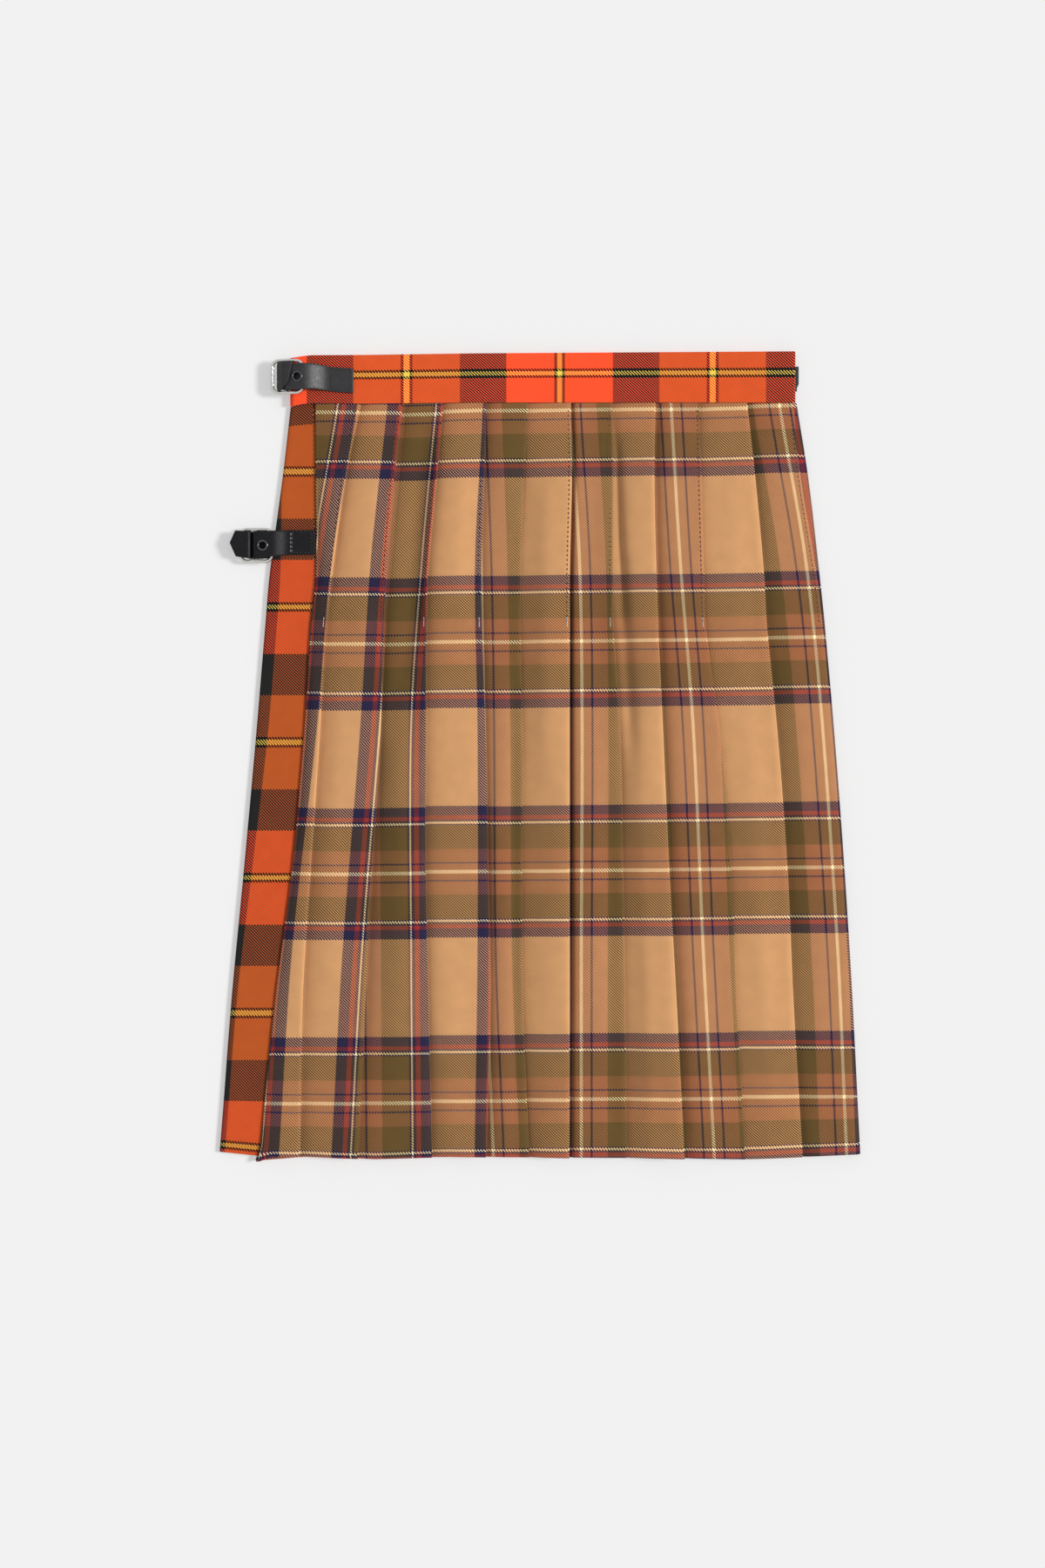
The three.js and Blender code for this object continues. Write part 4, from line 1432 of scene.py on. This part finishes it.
@dataclass
class Fastening:
    """Leather chape sewn down at one end and wrapped round a buckle's bar, the buckle and an eyelet."""

    name: str
    frame: tuple[float, float, float]
    tilt: float
    eyelet: float
    tab: tuple[float, float, float]
    return_end: float
    middle: tuple[tuple[float, float], ...]
    width: tuple[tuple[float, float], ...]
    box: tuple[float, float]
    wire: float = 2.4
    bar: float = 2.0
    half: tuple[float, float] = (10.3, 10.6)
    corner: float = 4.4
    leather: float = 1.6
    stitch_inset: float = 1.3
    stitch_pitch: float = 2.5
    eyelet_radii: tuple[float, float] = (3.8, 2.3)
    hole_depth: float = 8.0
    hole_clear: float = 0.1
    pale_column: bool = False
    column_gap: float = 0.45
    return_sag: float = 0.0
    rim_flat: float = 0.75
    rim_lift: float = 0.25
    barrel: tuple[float, float] = (0.5, 1.7)

    def off(self, distance: float, height: float) -> tuple[float, float]:
        """Point at a distance along the tilted frame and a height over it, x and z."""
        a = math.radians(self.tilt)
        x = self.frame[0] + math.cos(a) * distance - math.sin(a) * height
        return x, self.frame[2] + math.sin(a) * distance + math.cos(a) * height

    def eyelet_distance(self) -> float:
        """How far the eyelet is from the bar, along the tilted frame."""
        return (self.eyelet - self.frame[0]) / math.cos(math.radians(self.tilt))

    def chape(self, finish: Finish) -> Piece:
        """Make the leather from its sewn end over the frame, round the bar and back.

        Args:
            finish: The leather.

        Returns:
            The chape with the hole for its eyelet.
        """
        right, left, height = self.tab
        wrap = self.bar / 2 + GAP + self.leather / 2
        route = Route(right, height)
        route.to(left, height, 6)
        route.rise(*self.off(self.half[0], self.wire / 2 + GAP + self.leather / 2), 12)
        route.to(*self.off(0, wrap), 4)
        route.turn((self.frame[0], self.frame[2]), wrap, (90 + self.tilt, 270 + self.tilt), 12)
        route.to(*self.off(self.return_end, -wrap - self.return_sag), 3)
        strap = Strap(f"{self.name}_buckle_leather", route, self.middle, self.width)
        piece = strap.finish(strap.sheet(), finish)
        Bench.clear()
        x, z = self.off(self.eyelet_distance(), self.wire / 2 + self.leather / 2)
        radius = self.eyelet_radii[1] + self.hole_clear
        bpy.ops.mesh.primitive_cylinder_add(vertices=24, radius=radius * MM, depth=self.hole_depth * MM,
                                            location=spot(x, self.frame[1], z),
                                            rotation=(0, math.radians(-self.tilt), 0))
        Bench.cut(piece, Bench.started("hole_tool"))
        return register(piece, Slot.LEATHER, f"{self.name}_chape")

    def buckle(self, finish: Finish) -> Piece:
        """Make the frame: a ring whose quarters are moved apart, and the bar across it."""
        Bench.clear()
        bpy.ops.mesh.primitive_torus_add(major_segments=64, minor_segments=14, major_radius=self.corner * MM,
                                         minor_radius=self.wire / 2 * MM)
        piece = Bench.started(f"{self.name}_buckle_frame")
        Bench.edit(piece)
        for way in (-1, 1):
            Bench.choose(piece, lambda co: co.x * way > 1e-6)
            bpy.ops.transform.translate(value=(way * (self.half[0] - self.corner) * MM, 0, 0))
            Bench.choose(piece, lambda co: co.y * way > 1e-6)
            bpy.ops.transform.translate(value=(0, way * (self.half[1] - self.corner) * MM, 0))
        Bench.leave()
        bpy.ops.mesh.primitive_cylinder_add(vertices=16, radius=self.bar / 2 * MM,
                                            depth=2 * self.half[1] * MM, rotation=(math.radians(90), 0, 0))
        Bench.join(piece, Bench.started("bar"))
        self.set_down(piece)
        Bench.soften(piece, 60)
        Bench.dress(piece, finish)
        return register(piece, Slot.METAL, f"{self.name}_buckle")

    def set_down(self, piece: Piece) -> None:
        """Tilt a piece that was modelled round the frame's middle, and move it there."""
        Bench.edit(piece)
        Bench.face_out()
        piece.rotation_euler = (0, -math.radians(self.tilt), 0)
        piece.location = spot(*self.frame)
        Bench.settle(piece)

    def ring(self, finish: Finish) -> Piece:
        """Make the eyelet: a rolled rim with a barrel that goes down through the leather."""
        outer, inner = self.eyelet_radii
        tube = (outer - inner) / 2
        Bench.clear()
        bpy.ops.mesh.primitive_torus_add(major_segments=40, minor_segments=12,
                                         major_radius=(outer - tube) * MM, minor_radius=tube * MM)
        piece = Bench.started(f"{self.name}_ring")
        Bench.edit(piece)
        bpy.ops.mesh.select_all(action="SELECT")
        bpy.ops.transform.resize(value=(1, 1, self.rim_flat))
        reach, depth = self.barrel
        Bench.choose(piece, lambda co: co.z < -1e-6 and math.hypot(co.x, co.y) < (inner + reach) * MM)
        bpy.ops.transform.translate(value=(0, 0, -depth * MM))
        bpy.ops.mesh.select_all(action="SELECT")
        lift = self.wire / 2 + GAP + self.leather + self.rim_lift
        bpy.ops.transform.translate(value=(self.eyelet_distance() * MM, 0, lift * MM))
        Bench.leave()
        self.set_down(piece)
        Bench.soften(piece, 60)
        Bench.dress(piece, finish)
        return register(piece, Slot.METAL, f"{self.name}_eyelet")

    def stitches(self, needle: Needle, thread: Finish, pale: Finish) -> None:
        """Sew the box that holds the chape's tab, its left column doubled and grey where that is so."""
        right, left = self.box
        up = self.tab[2] + self.leather / 2 - 0.02

        def edge(x: float, side: float) -> tuple[float, float]:
            width = Strap.read(self.width, x)
            return x, Strap.read(self.middle, x) + side * (width / 2 - self.stitch_inset)

        sides = [((right, -1), (right, 1)), ((right, 1), (left, 1)), ((left, -1), (right, -1))]
        shifts = (-self.column_gap, self.column_gap) if self.pale_column else (0.0,)
        columns = [((left + dx, 1), (left + dx, -1)) for dx in shifts]
        if self.pale_column:
            places = [p for start, end in columns
                      for p in seam(edge(*start), edge(*end), up, self.stitch_pitch)]
            register(needle.sew(f"{self.name}_tab_grey_stitches", places, pale), Slot.LEATHER)
        else:
            sides += columns
        places = [p for start, end in sides for p in seam(edge(*start), edge(*end), up, self.stitch_pitch)]
        register(needle.sew(f"{self.name}_tab_stitches", places, thread), Slot.LEATHER)

    def build(self, leather: Finish, chrome: Finish, painted_reflection_metal: Finish,
              needle: Needle, thread: Finish, pale: Finish) -> None:
        """Make the fastening's pieces."""
        self.chape(leather)
        self.buckle(chrome)
        self.ring(painted_reflection_metal)
        self.stitches(needle, thread, pale)


HIP = Fastening(
    name="hip", frame=(-189.0, 140.4, 5.5), tilt=0.0, eyelet=-184.6, tab=(-149.9, -167.3, 4.7),
    return_end=7.4, box=(-152.6, -165.8), pale_column=True,
    middle=((-149.9, 142.6), (-168.0, 142.4), (-178.0, 141.6), (-190.0, 140.8)),
    width=((-149.9, 16.3), (-168.0, 16.4), (-178.0, 17.2), (-190.0, 17.4)),
)
WAIST = Fastening(
    name="waist", frame=(-168.0, 252.4, 9.2), tilt=10.0, eyelet=-160.8, tab=(-124.1, -139.2, 7.7),
    return_end=12.0, box=(-125.6, -139.2),
    middle=((-124.1, 249.8), (-139.2, 250.9), (-150.0, 252.6), (-160.0, 252.4), (-169.0, 252.2)),
    width=((-124.1, 16.4), (-139.2, 16.2), (-150.0, 16.8), (-160.0, 17.6), (-169.0, 17.6)),
    hole_depth=3.2, return_sag=0.5,
)


@dataclass
class StrapEnds:
    """The two strap ends that come out of the cloth and through the buckles, and the third strap's end."""

    point: float = 3.9

    def hip(self, finish: Finish) -> Piece:
        """Make the hip strap: out of the slit, up beside the bar and over the frame's far side."""
        frame_x, frame_y, frame_z = HIP.frame
        up_x, low, top, tip = frame_x - 4.1, 1.5, frame_z + 2.3, -206.5
        wide, tight = 2.2, 1.5
        route = Route(-153.0, UNDER_Z)
        route.to(-178.0, UNDER_Z, 6)
        route.to(up_x + wide, low, 3)
        route.turn((up_x + wide, low + wide), wide, (270, 180), 6)
        route.to(up_x, top - tight, 2)
        route.turn((up_x - tight, top - tight), tight, (0, 90), 5)
        route.to(tip, top - 0.2, 6)
        middle = ((-153.0, frame_y), (up_x + 3, frame_y), (tip, frame_y + 1.7))
        width = ((-153.0, 16.4), (-178.0, 16.4), (up_x, 18.2), (tip + self.point, 17.2), (tip, 17.2))
        strap = Strap("hip_strap_end", route, middle, width)
        piece = strap.sheet()
        end = frame_y + 1.7
        for side in (-1, 1):
            strap.trim(piece, spot(tip, end, top), (-1.0, side * self.point / 8.6, 0.0),
                       lambda co: co.x < (up_x - 4) * MM and co.z > (top - 2) * MM)
        return register(strap.finish(piece, finish), Slot.LEATHER, "hip_strap")

    def waist(self, finish: Finish) -> Piece:
        """Make the waist strap: out of the band's end, up inside the frame, its point leaning back."""
        frame_x, frame_y, frame_z = WAIST.frame
        up_x, low, up_z = frame_x - 6.4, BAND_UNDER_Z, frame_z - 1.6
        wide, tight, straight, lean = 2.3, 2.0, 4.6, 48
        route = Route(-145.3, low)
        route.to(up_x + wide, low, 8)
        route.turn((up_x + wide, low + wide), wide, (270, 180), 6)
        route.to(up_x, up_z, 2)
        route.turn((up_x + tight, up_z), tight, (180, 180 - lean), 4)
        x, z = route.points[-1]
        a = math.radians(lean)
        route.to(x + straight * math.cos(a), z + straight * math.sin(a), 3)
        route.to(-164.9, 14.4, 3)
        middle = ((-145.3, frame_y), (-166.0, frame_y), (up_x, frame_y), (-164.9, frame_y))
        width = ((-145.3, 16.4), (-166.4, 16.4), (up_x, 16.4))
        strap = Strap("waist_strap_end", route, middle, width)
        piece = strap.sheet()
        high = (up_z + 1) * MM
        Bench.edit(piece)
        Bench.choose(piece, lambda co: co.z > high)
        bpy.ops.transform.resize(value=(1, 1.22, 1), center_override=spot(0, frame_y - 0.6, 0))
        Bench.leave()
        strap.trim(piece, spot(-165.4, 257.4, z), (1.0, -0.22, 0.0), lambda co: co.z > high)
        strap.trim(piece, spot(-168.2, 247.6, z), (0.72, -0.69, 0.0), lambda co: co.z > high)
        return register(strap.finish(piece, finish), Slot.LEATHER, "waist_strap")

    def right(self, finish: Finish) -> Piece:
        """Make the third strap's end, which shows past the waistband's right end."""
        left, right, low, high, thick = 150.3, 172.7, 243.4, 260.0, 1.6
        Bench.clear()
        bpy.ops.mesh.primitive_cube_add(size=1.0, scale=((right - left) * MM, (high - low) * MM, thick * MM),
                                        location=spot((left + right) / 2, (low + high) / 2, thick / 2))
        piece = Bench.started("right_strap_end")
        Bench.edit(piece)
        bpy.ops.mesh.select_all(action="SELECT")
        bpy.ops.mesh.subdivide(number_cuts=6)
        Bench.choose(piece, lambda co: co.x > (right - 3) * MM and co.y < (low + 3) * MM)
        bpy.ops.transform.translate(value=(-1.2 * MM, 0, 0))
        Bench.leave()
        Bench.round_edges(piece, 0.4, 3)
        Bench.soften(piece, 50)
        Bench.dress(piece, finish)
        return register(piece, Slot.LEATHER, "right_strap")

    def build(self, dark_leather: Finish, leather: Finish) -> None:
        """Make the three strap ends, the hip's in the darker leather."""
        self.hip(dark_leather)
        self.waist(leather)
        self.right(leather)


@dataclass
class Topstitching:
    """Threads that hold the pleats' free edges down, the strip's edge, and a tack at the end of each row."""

    cloth: PleatedCloth
    inset: float = 1.5
    pitch: float = 3.1
    end: float = 88.5
    rows: tuple[int, ...] = (0, 1, 2, 3, 5, 6, 8, 10)
    tacks: tuple[int, ...] = (0, 2, 3, 5, 6, 8)
    top_gap: float = 3.0
    tack_reach: tuple[float, float] = (3.2, 2.5)
    tack_pitch: float = 1.6
    strip_inset: float = 1.7
    strip_gap: float = 2.0
    strip_rise: float = 0.46

    def edge_places(self, number: int, top: float, bottom: float, pitch: float) -> list:
        """Places of stitches along one free edge.

        Args:
            number: Which pleat.
            top: First height.
            bottom: Last height.
            pitch: From one stitch to the next.

        Returns:
            A list of x, y, z and direction in degrees.
        """
        y = np.arange(top, bottom, -pitch)
        start, finish = self.cloth.span(number, y)
        share = float(1 - ((self.inset - self.cloth.edge_round) / (finish - start)).mean())
        x, z = self.cloth.surface(number, share, y)
        z = z + self.cloth.thickness / 2
        lean = np.degrees(np.arctan2(np.gradient(y), np.gradient(x)))
        return list(zip(x.tolist(), y.tolist(), z.tolist(), lean.tolist()))

    def strip_places(self) -> list:
        """Places of the stitches that hold the strip's edge under the brown cloth."""
        y = np.arange(HEIGHTS[0] - self.strip_gap, self.end, -self.pitch)
        x = along(CLOTH_EDGE, y) - self.strip_inset
        return [(float(a), float(b), BASE_Z + self.strip_rise, 90.0) for a, b in zip(x, y)]

    def build(self, needle: Needle, dark: Finish, pale: Finish,
              orange: Finish) -> None:
        """Sew the rows and the tacks."""
        top = HEIGHTS[0] - self.top_gap
        places = [p for number in self.rows for p in self.edge_places(number, top, self.end, self.pitch)]
        register(needle.sew("pleat_topstitching", places, dark), Slot.BROWN)
        first, last = self.end + self.tack_reach[0], self.end - self.tack_reach[1]
        ends = [p for number in self.tacks for p in self.edge_places(number, first, last, self.tack_pitch)]
        register(needle.sew("pleat_tacks", ends, pale), Slot.BROWN)
        register(needle.sew("strip_stitching", self.strip_places(), orange), Slot.ORANGE)


@dataclass
class Studio:
    """Pale floor, soft light from the right, and the camera straight above."""

    lens: float = 85.0
    sensor: float = 36.0
    view_height: float = 1044.0
    aim: tuple[float, float] = (-11.65, -19.0)
    ambient: float = 0.52
    mirrored: float = 0.8
    sun: float = 2.96
    sun_spread: float = 14.0
    sun_from: tuple[float, float, float] = (0.78, 0.06, 0.62)
    floor_size: float = 8.0
    farthest: float = 100.0

    def floor(self) -> None:
        """Lay the floor."""
        Bench.clear()
        bpy.ops.mesh.primitive_plane_add(size=self.floor_size)
        floor = bpy.context.active_object
        floor.name = "floor"
        Bench.dress(floor, Paper().material())

    def light(self) -> None:
        """Set the world's light, brighter where metal and leather mirror it, and one broad light."""
        world = bpy.data.worlds.new("studio")
        world.use_nodes = True
        background = world.node_tree.nodes["Background"]
        background.inputs["Color"].default_value = WHITE
        tree = world.node_tree
        ray = tree.nodes.new("ShaderNodeLightPath")
        level = tree.nodes.new("ShaderNodeMapRange")
        level.inputs["To Min"].default_value = self.ambient
        level.inputs["To Max"].default_value = self.mirrored
        tree.links.new(ray.outputs["Is Glossy Ray"], level.inputs["Value"])
        tree.links.new(level.outputs["Result"], background.inputs["Strength"])
        bpy.context.scene.world = world
        lamp = bpy.data.lights.new("window", "SUN")
        lamp.energy = self.sun
        lamp.angle = math.radians(self.sun_spread)
        lamp_object = bpy.data.objects.new("window", lamp)
        lamp_object.rotation_mode = "QUATERNION"
        lamp_object.rotation_quaternion = Vector(self.sun_from).to_track_quat("Z", "Y")
        bpy.context.scene.collection.objects.link(lamp_object)

    def camera(self) -> None:
        """Hang the camera above the photograph's middle."""
        data = bpy.data.cameras.new("camera")
        data.lens = self.lens
        data.sensor_width = self.sensor
        data.clip_end = self.farthest
        camera = bpy.data.objects.new("camera", data)
        distance = self.view_height * self.lens / self.sensor
        camera.location = (self.aim[0] * MM, self.aim[1] * MM, (distance + FACE_Z) * MM)
        bpy.context.scene.collection.objects.link(camera)
        bpy.context.scene.camera = camera

    def build(self) -> None:
        """Make the whole studio."""
        self.floor()
        self.light()
        self.camera()
        bpy.context.scene.view_settings.view_transform = "Standard"
        bpy.context.scene.view_settings.look = "None"


def main() -> None:
    """Build the kilt round its frame."""
    logging.basicConfig(level=logging.INFO, format="%(name)s %(message)s")
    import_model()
    Studio().build()
    FrontApron().build()
    Waistband().build()
    cloth = PleatedCloth()
    cloth.build()
    leather = Leather().material()
    dark_leather = Leather("hip_leather", (18, 18, 21), (34, 34, 38), 0.45, 0.14).material()
    chrome = Metal("buckle_chrome").material()
    # The eyelets are chrome; their dark tone is a painted reflection of dark surroundings, and their highlight
    # comes from the light
    painted_reflection_metal = Metal("eyelet_painted_reflection", (92, 92, 96), 0.16).material()
    black = Thread("black_thread", (20, 20, 22)).material()
    grey = Thread("grey_thread", (120, 120, 124)).material()
    needle = Needle(2.1, 0.55)
    HIP.build(dark_leather, chrome, painted_reflection_metal, needle, black, grey)
    WAIST.build(leather, chrome, painted_reflection_metal, needle, black, grey)
    StrapEnds().build(dark_leather, leather)
    brown = Thread("brown_thread", (44, 34, 38)).material()
    pale = Thread("pale_thread", (214, 206, 198)).material()
    rust = Thread("rust_thread", (214, 128, 78)).material()
    Topstitching(cloth).build(Needle(2.0, 0.62), brown, pale, rust)


if __name__ == "__main__":
    main()
